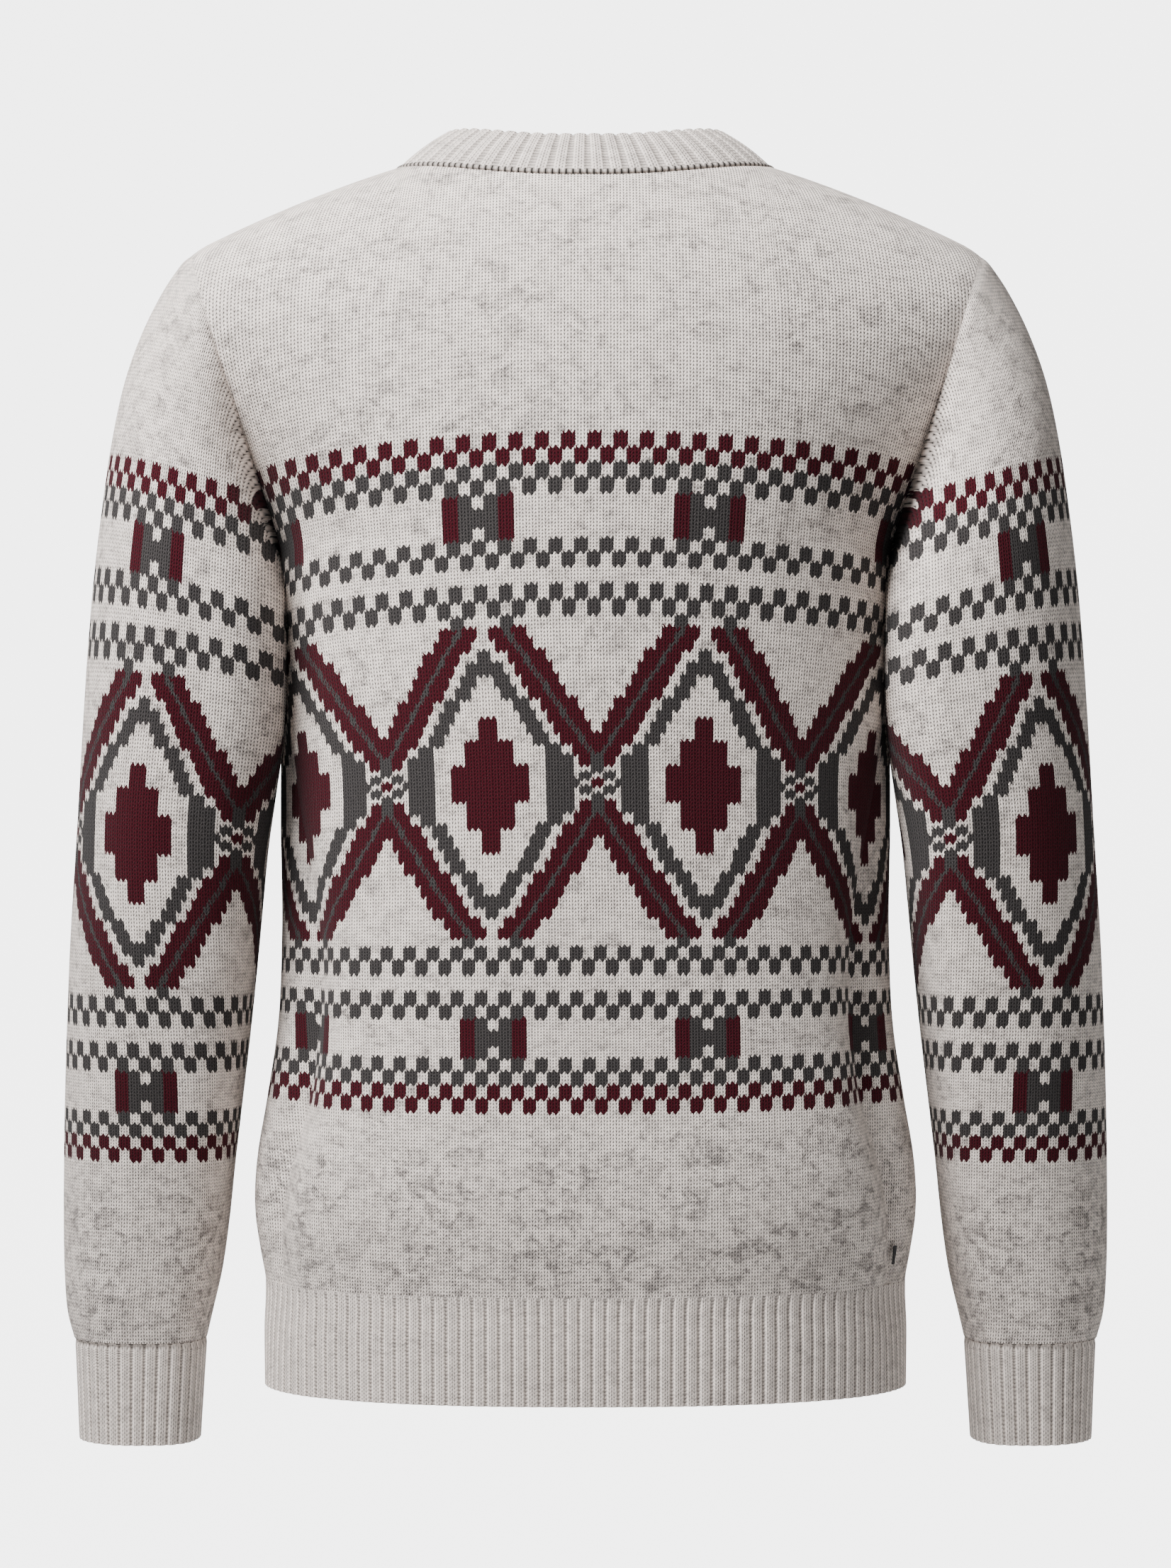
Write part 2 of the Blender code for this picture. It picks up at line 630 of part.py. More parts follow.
def add_cuffs():
    """Both ribbed cuffs."""
    seam = SLEEVE_RINGS[-1]
    top = seam._replace(outer_z=seam.outer_z - SEAM_GAP / 2, inner_z=seam.inner_z - SEAM_GAP / 2)
    fine = np.linspace(0.0, 2 * math.pi, 361)
    line = np.array([ring_point(seam, angle) for angle in fine])
    lengths = np.concatenate(([0.0], np.cumsum(np.linalg.norm(np.diff(line, axis=0), axis=1))))
    angles = np.interp(np.array(rib_places(CUFF_RIBS, closed=True)) * lengths[-1], lengths, fine)
    rows = np.array([[ring_point(ring, angle) for angle in angles] for ring in [top] + CUFF_RINGS])
    normals = surface_normals(rows, closed=True)
    normals = facing(normals, rows, np.mean(rows, axis=1, keepdims=True))
    add_rib_wall("cuff_left", rows, normals, closed=True)
    add_rib_wall("cuff_right", mirrored(rows), mirrored(normals), closed=True)


def add_side_tag():
    """A plain folded tape in the wearer's right side seam, laid on the front's wall."""
    rows = []
    for height, width in ((TAG_BOTTOM, TAG_WIDTH_BOTTOM), (TAG_TOP, TAG_WIDTH_TOP)):
        seam = math.radians(body_section(height).seam_degrees)
        rows.append([body_point(height, -(seam + width * part)) for part in (0.25, 0.6, 1.0)])
    middle = np.array(rows)
    normals = facing(surface_normals(middle), middle, np.array((0.0, 0.0, TAG_TOP)))
    under = middle + normals * (WALL / 2 + TAG_LIFT)
    add_wall("side_tag", under + normals * TAG_THICKNESS, under, False, TAG_TAPE)


def build():
    """The whole garment."""
    for leftover in list(bpy.data.objects):
        bpy.data.objects.remove(leftover, do_unlink=True)
    collection = bpy.data.collections.new(OBJECT_NAME)
    bpy.context.scene.collection.children.link(collection)
    grids = panel_grids()
    sleeve, sleeve_normals = sleeve_grid(grids)
    add_panels(grids)
    add_neckband(grids)
    add_hem_ribs()
    add_sleeves(sleeve, sleeve_normals)
    add_cuffs()
    add_side_tag()


build()
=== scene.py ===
import math
from collections import namedtuple

import bpy
import numpy as np
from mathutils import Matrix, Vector


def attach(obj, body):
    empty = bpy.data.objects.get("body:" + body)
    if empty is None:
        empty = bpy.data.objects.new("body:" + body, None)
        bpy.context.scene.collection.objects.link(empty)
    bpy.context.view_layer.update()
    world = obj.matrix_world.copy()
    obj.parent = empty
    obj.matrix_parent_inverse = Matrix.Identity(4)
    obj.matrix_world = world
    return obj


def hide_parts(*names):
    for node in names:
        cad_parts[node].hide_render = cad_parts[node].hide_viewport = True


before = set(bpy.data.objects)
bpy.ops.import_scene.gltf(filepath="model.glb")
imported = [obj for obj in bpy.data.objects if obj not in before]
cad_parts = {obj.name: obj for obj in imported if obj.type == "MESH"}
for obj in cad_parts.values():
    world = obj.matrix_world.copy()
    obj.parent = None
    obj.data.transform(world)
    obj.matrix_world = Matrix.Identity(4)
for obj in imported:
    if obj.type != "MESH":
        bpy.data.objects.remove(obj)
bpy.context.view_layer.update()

bl_info = {
    "name": "Jacquard Sweater",
    "version": (1, 0, 0),
    "blender": (4, 5, 0),
    "location": "View3D > Sidebar > Sweater",
    "description": "Knits a crew-neck jacquard sweater from its sizes and its chart",
    "category": "Add Mesh",
}

# Sizes in metres. The forms are those of the solids, but for deeper folds and for upper
# sleeves that are fuller inside and lie nearer the body. Heights are measured from the sides
# of the neck seam.
HEM_BOTTOM = -0.6705
HEM_SEAM = -0.6125
UNDERARM = -0.212
CUFF_BOTTOM = -0.7050
RIDGE_HEIGHT = 0.018
RIDGE_DROP_POWER = 1.65
YOKE_ROUNDNESS = 2.43
YOKE_RISE_POWER = 1.35
YOKE_SQUARENESS = 2.15
YOKE_SWEEP_DEGREES = 58.0
YOKE_SWEEP_POWER = 0.8
SHOULDER_TIP_X = 0.216
SHOULDER_TIP_Z = -0.048
UNDERARM_X = 0.1673
ARMHOLE_DEPTH_BACK = 0.062
ARMHOLE_DEPTH_FRONT = 0.058
ARMHOLE_FULLNESS = 0.85
NECK_HALF_WIDTH = 0.103
NECK_BACK = 0.066
NECK_SIDE_HEIGHT = -0.0007
NECK_DROP = 0.075
NECK_FRONT_ROUNDNESS = 1.6
FOLD_SPREAD = math.radians(9.0)
FRONT_CREASE_TURN = math.radians(116.0)
FRONT_CREASE_SHARE = 0.55
SEAM_TUCK = 0.0011
SEAM_TUCK_REACH = 0.0045

BodySection = namedtuple(
    "BodySection", "height half_width back_depth front_depth squareness fold seam_degrees")
BODY_SECTIONS = [BodySection(*row) for row in (
    (-0.6705, 0.1755, 0.1105, 0.1090, 2.30, 0.0000, 70.0),
    (-0.6400, 0.1758, 0.1118, 0.1100, 2.30, 0.0012, 70.0),
    (-0.6125, 0.1754, 0.1122, 0.1105, 2.32, 0.0028, 70.0),
    (-0.5970, 0.1782, 0.1148, 0.1135, 2.35, 0.0055, 70.0),
    (-0.5750, 0.1812, 0.1175, 0.1160, 2.40, 0.0080, 68.5),
    (-0.5500, 0.1804, 0.1178, 0.1162, 2.40, 0.0098, 66.0),
    (-0.5150, 0.1748, 0.1155, 0.1135, 2.40, 0.0112, 63.0),
    (-0.4750, 0.1688, 0.1135, 0.1115, 2.35, 0.0104, 62.5),
    (-0.4200, 0.1664, 0.1125, 0.1100, 2.28, 0.0070, 62.0),
    (-0.3600, 0.1672, 0.1128, 0.1105, 2.20, 0.0028, 68.0),
    (-0.3000, 0.1670, 0.1132, 0.1115, 2.15, 0.0004, 78.0),
    (-0.2500, 0.1665, 0.1132, 0.1122, 2.15, 0.0000, 85.0),
    (-0.2120, 0.1673, 0.1130, 0.1125, 2.15, 0.0000, 90.0),
)]

SleeveRing = namedtuple(
    "SleeveRing", "outer_x outer_z inner_x inner_z centre_y half_depth armhole_share")
SLEEVE_RINGS = [SleeveRing(*row) for row in (
    (0.2160, -0.0480, 0.1673, -0.2120, 0.0000, 0.0620, 1.00),
    (0.2223, -0.0550, 0.1694, -0.2145, 0.0020, 0.0620, 0.75),
    (0.2323, -0.0705, 0.1682, -0.2190, 0.0060, 0.0625, 0.45),
    (0.2427, -0.0930, 0.1666, -0.2260, 0.0130, 0.0628, 0.20),
    (0.2515, -0.1200, 0.1656, -0.2360, 0.0200, 0.0626, 0.05),
    (0.2578, -0.1520, 0.1652, -0.2500, 0.0260, 0.0622, 0.0),
    (0.2628, -0.1880, 0.1648, -0.2690, 0.0290, 0.0616, 0.0),
    (0.2673, -0.2260, 0.1650, -0.2920, 0.0295, 0.0608, 0.0),
    (0.2708, -0.2650, 0.1669, -0.3180, 0.0280, 0.0600, 0.0),
    (0.2737, -0.3050, 0.1708, -0.3450, 0.0255, 0.0590, 0.0),
    (0.2763, -0.3450, 0.1753, -0.3750, 0.0220, 0.0580, 0.0),
    (0.2791, -0.3850, 0.1787, -0.4080, 0.0180, 0.0565, 0.0),
    (0.2821, -0.4250, 0.1822, -0.4420, 0.0130, 0.0550, 0.0),
    (0.2844, -0.4650, 0.1862, -0.4770, 0.0070, 0.0530, 0.0),
    (0.2863, -0.5050, 0.1908, -0.5130, 0.0010, 0.0510, 0.0),
    (0.2876, -0.5430, 0.1953, -0.5480, -0.0050, 0.0490, 0.0),
    (0.2885, -0.5780, 0.1991, -0.5810, -0.0110, 0.0470, 0.0),
    (0.2886, -0.6080, 0.2034, -0.6095, -0.0155, 0.0448, 0.0),
    (0.2874, -0.6320, 0.2088, -0.6325, -0.0190, 0.0420, 0.0),
    (0.2838, -0.6475, 0.2123, -0.6475, -0.0205, 0.0388, 0.0),
    (0.2828, -0.6520, 0.2130, -0.6520, -0.0212, 0.0380, 0.0),
    (0.2812, CUFF_BOTTOM, 0.2168, CUFF_BOTTOM, -0.0270, 0.0362, 0.0),
)]
CUFF_SEAM_RING = 19
# How much deeper than an ellipse the sleeve is at its inner side
INNER_FULLNESS = 0.42

# The neckband's top edge: how far it is drawn in and lifted from the neck seam
BAND_CENTRE_Y = -0.008
BandEdge = namedtuple("BandEdge", "shrink rise")
BAND_SIDE = BandEdge(0.735, 0.0196)
BAND_BACK = BandEdge(0.730, 0.0222)
BAND_FRONT = BandEdge(0.865, 0.0250)
BAND_BULGE = 0.0016
BAND_BULGE_TURN = math.radians(153.0)

# The chain loops that link the neckband to the panels: their length and radius, how much
# thinner they are at their ends, how high they are for their depth, and how far they stand
# out, as a share of the cloth's thickness
LINKING_PITCH = 0.0037
LINKING_RADIUS = 0.0014
LINKING_PINCH = 0.38
LINKING_HEIGHT = 1.15
LINKING_STAND = 0.42

# A rib's section, in shares of its width: half of its trough, each flank, and where its
# crest's rounded edges lie, how wide they are and how far they stand above its middle. The
# ribs begin on the seam's own line, so much of their height is sunk, and they rise to
# their full height over the first rows.
RIB_TROUGH = 0.09
RIB_FLANK = 0.22
RIB_EDGE_AT = 0.22
RIB_EDGE_WIDTH = 0.07
RIB_EDGE_SHARE = 0.14
RIB_SUNK = 0.6
RIB_START_ROWS = 1.5

# How finely each piece is divided, and its seam sampled
NECK_COLUMNS = 34
SHOULDER_COLUMNS = 26
SLEEVE_COLUMNS = 96
SLEEVE_ROWS = 190
POINTS_TO_RIB = 9
HEM_ROWS = 24
CUFF_TOP_ROWS = 3
CUFF_ROWS = 21
BAND_ROWS = 16
POINTS_TO_LOOP = 6
POINTS_ROUND_LOOP = 8
HEM_COURSES = 29.0
BAND_COURSES = 14.0
HEM_SAMPLES = 1201
CUFF_SAMPLES = 721
NECK_SAMPLES = 241
BISECTIONS = 36
SMOOTH_ANGLE = math.radians(60.0)
WELD_DISTANCE = 0.00005

# Where each course of the chart lies down the back's centre and down the sleeve. Course 0
# is the top of the upper dark red checks, and the chart ends below the lower ones.
CHART_END = 188.0
MIDDLE_COURSE = CHART_END / 2
CourseHeight = namedtuple("CourseHeight", "course height")
BODY_COURSES = [CourseHeight(*row) for row in (
    (0, -0.1537), (16, -0.1853), (29, -0.2099), (37, -0.2243), (53, -0.2562),
    (86, -0.3245), (94, -0.3392), (135, -0.4214), (142, -0.4330), (151, -0.4503),
    (159, -0.4642), (172, -0.4856), (188, -0.5141), (240, -0.6125), (271, -0.6705),
)]
SLEEVE_COURSES = [CourseHeight(*row) for row in (
    (-8, -0.1545), (2, -0.1743), (22.5, -0.2155), (40, -0.2520), (59, -0.2940),
    (94, -0.3670), (135, -0.4495), (165.5, -0.5072), (188, -0.5450), (240, -0.6480),
    (269, -0.7050),
)]
# From this height up the courses are counted on, all equally high
YOKE_COURSES_FROM = -0.1500
COURSE_HEIGHT = 0.0020
COURSE_TOLERANCE = 0.001

# The gauge round the body: a stitch's width at centre back, how much wider it is at the
# sides, how far the chart is pulled towards the wearer's right, and how much of that the
# sides take back. Drop is how far a course hangs lower at the sides than at the centre, and
# lean how much of that is more on the wearer's left.
Gauge = namedtuple("Gauge", "height width widening pull side_return drop lean")
BODY_GAUGE = [Gauge(*row) for row in (
    (-0.6700, 0.00316, 0.00000, 0.0084, 0.0000, 0.0000, 0.0006),
    (-0.5100, 0.00316, 0.00003, 0.0084, 0.0012, -0.0012, 0.0006),
    (-0.4300, 0.00316, 0.00008, 0.0078, 0.0040, 0.0022, 0.0006),
    (-0.3400, 0.00316, 0.00000, 0.0064, 0.0050, 0.0062, 0.0000),
    (-0.2400, 0.00331, 0.00024, 0.0044, 0.0012, 0.0100, 0.0014),
    (-0.1600, 0.00347, 0.00017, 0.0047, 0.0000, 0.0125, 0.0014),
    (0.0100, 0.00350, 0.00017, 0.0047, 0.0000, 0.0125, 0.0014),
)]
# Where the sides are reckoned: at a distance for the gauge, and at a stitch for the drop,
# which goes on growing to that many times as far. The front's stitches have one width, and
# towards its sides the chart moves over to meet the back's.
GAUGE_SIDE = 0.170
SIDE_STITCH = 54.0
FARTHEST_SIDE = 1.3
FRONT_STITCH = 0.00325
STITCHES_ROUND = 288
DIAMOND_STITCH = 18.0

# The sleeve's gauge: the angle from its outer side to the line down the middle of the
# diamonds, on the left and the right sleeve, and how steeply the courses tilt.
SleeveGauge = namedtuple("SleeveGauge", "height width left_degrees right_degrees tilt")
SLEEVE_GAUGE = [SleeveGauge(*row) for row in (
    (-0.7050, 0.00290, 97.0, 87.0, 0.00),
    (-0.5500, 0.00303, 94.0, 82.0, 0.00),
    (-0.5060, 0.00305, 90.0, 77.5, 0.00),
    (-0.4300, 0.00306, 79.5, 69.0, 0.01),
    (-0.3670, 0.00307, 72.5, 63.0, 0.04),
    (-0.2900, 0.00312, 72.5, 65.0, 0.10),
    (-0.2140, 0.00320, 71.0, 65.0, 0.29),
    (-0.0500, 0.00325, 72.0, 66.0, 0.34),
)]
# Beside the body the upper sleeve's stitches are drawn wider. Stretch is the share of the
# cloth's height and depth that isn't counted there. It grows between two heights, and
# round the sleeve from where the angle's cosine falls below a value.
INNER_STRETCH = 0.80
STRETCH_HEIGHTS = (-0.46, -0.28)
STRETCH_COSINE = 0.35

# How far the dark yarns swell over the light one, in stitches and in courses
SWELL_ACROSS = 0.13
SWELL_DOWN = 0.34
# How bright the painted highlights on the crests' edges are in the hem and the cuffs
EDGE_HIGHLIGHT = 0.26
# The tape's lighter thread, and the shader of the knitted cloth
TAPE_THREAD = (0.075, 0.075, 0.078)
CLOTH_ROUGHNESS = 0.95
CLOTH_SHEEN = 0.04
CLOTH_BUMP = 0.55

# The large light, above the garment and to one side, and the camera's view from top to bottom
KEY_PLACE = (1.00, 0.99, 1.25)
KEY_SIZE = 1.0
KEY_SPREAD = math.radians(112.0)
VIEW_ANGLE = math.radians(18.96)
SENSOR_HEIGHT = 24.0
VIEW_RANGE = 60.0


class SweaterSizes(bpy.types.PropertyGroup):
    """Sizes of the cloth and its ribs"""
    wall: bpy.props.FloatProperty(
        name="Cloth thickness", description="Thickness of the knitted cloth",
        default=0.0025, min=0.0015, max=0.004, unit='LENGTH')
    rib_relief: bpy.props.FloatProperty(
        name="Rib relief", description="How far a rib's crest stands above its trough",
        default=0.0013, min=0.0, max=0.003, unit='LENGTH')
    hem_ribs: bpy.props.IntProperty(
        name="Hem ribs", description="Ribs round the whole hem", default=132, min=40, max=200)
    cuff_ribs: bpy.props.IntProperty(
        name="Cuff ribs", description="Ribs round one cuff", default=34, min=16, max=60)
    neck_ribs: bpy.props.IntProperty(
        name="Neck ribs", description="Ribs round the neckband", default=62, min=30, max=100)


def colour_property(name, description, default):
    """A colour that the panel shows."""
    return bpy.props.FloatVectorProperty(name=name, description=description, default=default,
                                         subtype='COLOR', size=3, min=0.0, max=1.0)


class SweaterColours(bpy.types.PropertyGroup):
    """Colours of the yarns"""
    light: colour_property("Ground", "Light heather yarn", (0.738, 0.656, 0.600))
    heather: colour_property("Heather", "Grey fibres spun into the light yarn",
                             (0.250, 0.222, 0.208))
    red: colour_property("Dark red", "Dark red pattern yarn", (0.035, 0.0013, 0.0050))
    charcoal: colour_property("Charcoal", "Charcoal pattern yarn", (0.031, 0.0278, 0.0278))
    tag: colour_property("Tag", "Woven tape in the side seam", (0.030, 0.030, 0.032))


class StageSettings(bpy.types.PropertyGroup):
    """The floor, the lights and the camera"""
    floor_colour: colour_property("Floor", "Pale floor and surround", (0.84, 0.84, 0.84))
    floor_height: bpy.props.FloatProperty(
        name="Floor height", description="Height of the floor below the garment",
        default=-1.15, unit='LENGTH')
    floor_glow: bpy.props.FloatProperty(
        name="Floor glow", description="Evens the floor out as the camera sees it",
        default=4.35, min=0.0)
    fill: bpy.props.FloatProperty(
        name="Fill", description="Strength of the even light from all round",
        default=0.26, min=0.0)
    key_power: bpy.props.FloatProperty(
        name="Key power", description="Power of the large soft light", default=47.0, min=0.0,
        subtype='POWER')
    camera_distance: bpy.props.FloatProperty(
        name="Camera distance", description="From the garment's middle to the camera",
        default=2.6, min=1.0, unit='LENGTH')
    camera_height: bpy.props.FloatProperty(
        name="Camera height", description="Height of the camera and of what it looks at",
        default=-0.3401, unit='LENGTH')


def smooth_columns(rows, keys):
    """A table's columns at the given keys, along smooth curves through its rows."""
    table = np.array(rows, dtype=float)
    table = table[np.argsort(table[:, 0])]
    known = table[:, 0]
    slopes = np.gradient(table, known, axis=0)
    keys = np.atleast_1d(np.asarray(keys, dtype=float))
    left = np.clip(np.searchsorted(known, keys) - 1, 0, len(known) - 2)
    span = (known[left + 1] - known[left])[:, None]
    part = (keys - known[left])[:, None] / span
    rise = table[left + 1] - table[left]
    start = slopes[left] * span
    end = slopes[left + 1] * span
    return (table[left] + part * start + part ** 2 * (3 * rise - 2 * start - end)
            + part ** 3 * (start + end - 2 * rise))


def running_total(steps, axis=0):
    """The sums of steps along an axis, starting from 0."""
    start = np.zeros_like(steps.take([0], axis))
    return np.concatenate((start, np.cumsum(steps, axis=axis)), axis=axis)


def lengths_along(line):
    """How far along a line of points each one is."""
    return running_total(np.linalg.norm(np.diff(line, axis=0), axis=1))


def lengths_to_row(grid):
    """How far each point of a grid lies from its first row."""
    return running_total(np.linalg.norm(np.diff(grid, axis=0), axis=2))


def section(heights):
    """The body's sections at the given heights, as one BodySection of arrays."""
    return BodySection(*smooth_columns(BODY_SECTIONS, heights).T)


def body_surface(heights, turns):
    """Points of the body's cloth. Turns are 0 at centre back and a quarter at the left side."""
    rows = section(heights)
    sideways = np.sin(turns)
    backward = np.cos(turns)
    power = 2.0 / rows.squareness
    depth = np.where(backward > 0, rows.back_depth, rows.front_depth)
    x = rows.half_width * np.sign(sideways) * np.abs(sideways) ** power
    y = depth * np.sign(backward) * np.abs(backward) ** power
    from_seam = (np.abs(turns) - np.radians(rows.seam_degrees)) / FOLD_SPREAD
    from_crease = (np.abs(turns) - FRONT_CREASE_TURN) / FOLD_SPREAD
    pull = rows.fold * (np.exp(-from_seam ** 2) + FRONT_CREASE_SHARE * np.exp(-from_crease ** 2))
    outward = np.stack((x / rows.half_width ** 2, y / depth ** 2))
    outward /= np.linalg.norm(outward, axis=0)
    return np.stack((x - pull * outward[0], y - pull * outward[1],
                     np.broadcast_to(heights, x.shape)), axis=-1)


def armhole_surface(side, rise):
    """Points of the left armhole, from the underarm at rise 0 to the shoulder tip at rise 1."""
    height = UNDERARM + (SHOULDER_TIP_Z - UNDERARM) * np.sin(rise * np.pi / 2)
    slope = (SHOULDER_TIP_X - UNDERARM_X) / (SHOULDER_TIP_Z - UNDERARM)
    depth = np.where(side > 0, ARMHOLE_DEPTH_BACK, ARMHOLE_DEPTH_FRONT)
    out = depth * np.abs(np.sin(rise * np.pi)) ** ARMHOLE_FULLNESS
    return np.stack((UNDERARM_X + slope * (height - UNDERARM), side * out, height), axis=-1)


def yoke_surface(side, across, rise):
    """Points of the cloth above the underarms, 0 across at the centre and 1 at the armhole."""
    base = section(UNDERARM)
    depth = float(base.back_depth[0] if side > 0 else base.front_depth[0])
    lift = np.pi / 2 * rise ** YOKE_RISE_POWER
    rounding = 2.0 / YOKE_ROUNDNESS
    centre_y = side * depth * np.maximum(np.cos(lift), 0.0) ** rounding
    centre_z = UNDERARM + (RIDGE_HEIGHT - UNDERARM) * np.sin(lift) ** rounding
    arm = armhole_surface(side, rise)
    sweep = np.radians(90.0 - YOKE_SWEEP_DEGREES * np.sin(rise * np.pi / 2) ** YOKE_SWEEP_POWER)
    power = 2.0 / YOKE_SQUARENESS
    sideways = (np.sin(sweep * np.abs(across)) / np.sin(sweep)) ** power
    edge = np.maximum(np.cos(sweep), 0.0) ** power
    backward = (np.maximum(np.cos(sweep * np.abs(across)), 0.0) ** power - edge) / (1.0 - edge)
    return np.stack((np.sign(across) * arm[..., 0] * sideways,
                     arm[..., 1] + (centre_y - arm[..., 1]) * backward,
                     centre_z + (arm[..., 2] - centre_z) * sideways ** RIDGE_DROP_POWER), axis=-1)


def bisect(value, low, high):
    """Where a falling function of arrays passes zero."""
    for _ in range(BISECTIONS):
        middle = (low + high) / 2
        above = value(middle) > 0
        low = np.where(above, middle, low)
        high = np.where(above, high, middle)
    return (low + high) / 2


def neck_across():
    """How far across the shoulder seam the neck opening ends."""
    found = bisect(lambda across: NECK_HALF_WIDTH - yoke_surface(1, across, np.ones(1))[..., 0],
                   np.zeros(1), np.ones(1))
    return float(found[0])


def outside_neck(side, point):
    """Positive outside the neck opening, negative within it."""
    sideways = (point[..., 0] / NECK_HALF_WIDTH) ** 2
    if side > 0:
        return sideways + (point[..., 1] / NECK_BACK) ** 2 - 1.0
    below = np.minimum((point[..., 2] - NECK_SIDE_HEIGHT) / NECK_DROP, 0.0)
    return sideways + (-below) ** NECK_FRONT_ROUNDNESS - 1.0


def top_rises(side, across):
    """How high each column of the yoke goes: to the neck opening, or to the shoulder seam."""
    found = bisect(lambda rise: outside_neck(side, yoke_surface(side, across, rise)),
                   np.zeros_like(across), np.ones_like(across))
    return np.where(np.abs(across) >= neck_across() - 1e-6, 1.0, found)


def panel_columns(neck_columns, shoulder_columns):
    """Places across a panel from the right armhole to the left, closer at the neck's sides."""
    neck = neck_across()
    inner = neck * np.sin(np.pi / 2 * np.arange(neck_columns) / neck_columns)
    outer = neck + (1.0 - neck) * np.arange(shoulder_columns + 1) / shoulder_columns
    half = np.concatenate((inner, outer))
    return np.concatenate((-half[:0:-1], half))


def panel_turns(side, height, across):
    """The turn about the body that a place across a panel has at a height."""
    seam = np.radians(section(height).seam_degrees)
    if side > 0:
        return across * seam
    return np.copysign(np.pi, across) - across * (np.pi - seam)


def panel_points(side, body_rows, yoke_rows, columns):
    """A panel's grid of points: rows from the hem seam up, columns from right to left."""
    heights = [HEM_SEAM + (UNDERARM - HEM_SEAM) * i / body_rows for i in range(body_rows + 1)]
    tops = top_rises(side, columns)
    return np.array(
        [body_surface(height, panel_turns(side, height, columns)) for height in heights]
        + [yoke_surface(side, columns, tops * i / yoke_rows) for i in range(1, yoke_rows + 1)])


def courses_at(table, heights):
    """The chart's course at each height, from a table of courses and heights."""
    heights = np.asarray(heights)
    rows = [(row.height, row.course) for row in table]
    return smooth_columns(rows, heights.ravel())[:, 1].reshape(heights.shape)


def body_courses(points, side):
    """For each point of a panel's grid, its distance from the centre line, its gauge and its
    course."""
    centre = points.shape[1] // 2
    along = running_total(np.linalg.norm(np.diff(points[:, :, :2], axis=1), axis=2), axis=1)
    along -= along[:, centre:centre + 1]
    gauge = Gauge(*(column.reshape(points.shape[:2]) for column in
                    smooth_columns(BODY_GAUGE, points[:, :, 2].ravel()).T))
    sided = np.minimum(np.abs(along) / (SIDE_STITCH * gauge.width), FARTHEST_SIDE)
    drop = gauge.drop * sided ** 2 + gauge.lean * sided * np.sign(along) * side
    level = np.clip(points[:, :, 2] + drop, HEM_BOTTOM, YOKE_COURSES_FROM)
    return along, gauge, yoke_courses(points, courses_at(BODY_COURSES, level))


def yoke_courses(points, course):
    """The courses of a panel's grid, counted on above the chart at an even height."""
    top = courses_at(BODY_COURSES, [YOKE_COURSES_FROM])[0]
    steps = np.linalg.norm(np.diff(points, axis=0), axis=2)
    for i in range(1, len(points)):
        above = course[i] < top + COURSE_TOLERANCE
        course[i] = np.where(above, course[i - 1] - steps[i - 1] / COURSE_HEIGHT, course[i])
    return course


def panel_stitches(grids):
    """The chart's stitch and course over both panels, continuous across the side seams."""
    back_along, gauge, back_course = body_courses(grids[0], 1)
    front_along, _, front_course = body_courses(grids[1], -1)
    sided = np.abs(back_along) / GAUGE_SIDE
    pull = gauge.pull - gauge.side_return * np.minimum(sided, 1.0) ** 3
    back_stitch = (back_along + pull) / (gauge.width + gauge.widening * sided ** 2)
    half = STITCHES_ROUND / 2
    right_reach, left_reach = -front_along[:, :1], front_along[:, -1:]
    to_left = back_stitch[:, -1:] - (half - right_reach / FRONT_STITCH)
    to_right = STITCHES_ROUND + back_stitch[:, :1] - (half + left_reach / FRONT_STITCH)
    level = half - front_along / FRONT_STITCH
    share = np.abs(front_along) / np.where(front_along > 0, left_reach, right_reach)
    front_stitch = level + np.where(level < half, to_left, to_right) * share ** 3
    return (back_stitch, back_course), (front_stitch, front_course)


def sleeve_ring(places):
    """Sleeve rings at the given places down the table, as one SleeveRing of arrays."""
    rows = [(index, *ring) for index, ring in enumerate(SLEEVE_RINGS)]
    return SleeveRing(*smooth_columns(rows, places).T[1:])


def ring_surface(ring, angle):
    """Points of sleeve rings. Angle is 0 on the outer side and a right angle at the back."""
    across = np.cos(angle) / 2
    full = 1.0 + INNER_FULLNESS * np.minimum(np.cos(angle), 0.0) ** 2
    x = (ring.outer_x + ring.inner_x) / 2 + (ring.outer_x - ring.inner_x) * across
    z = (ring.outer_z + ring.inner_z) / 2 + (ring.outer_z - ring.inner_z) * across
    y = ring.centre_y + ring.half_depth * np.sin(angle) * full
    return np.stack((x, y, np.broadcast_to(z, x.shape)), axis=-1)


def sleeve_points(first_ring, last_ring, rows, angles):
    """The left sleeve's grid: rows down from the armhole, columns round from the underarm."""
    side = np.where(angles >= 0, 1.0, -1.0)
    rise = 1.0 - np.abs(angles) / np.pi
    matched = side * np.arccos(np.clip(2.0 * np.sin(rise * np.pi / 2) - 1.0, -1.0, 1.0))
    armhole = armhole_surface(side, rise)
    seam = sleeve_ring([0.0])
    shape = armhole - ring_surface(seam, matched)
    grid = []
    for place in np.linspace(first_ring, last_ring, rows + 1):
        ring = sleeve_ring([place])
        share = float(np.clip(ring.armhole_share[0], 0.0, 1.0))
        turned = matched * share + angles * (1.0 - share)
        grid.append(ring_surface(ring, turned) + shape * share)
    return np.array(grid)


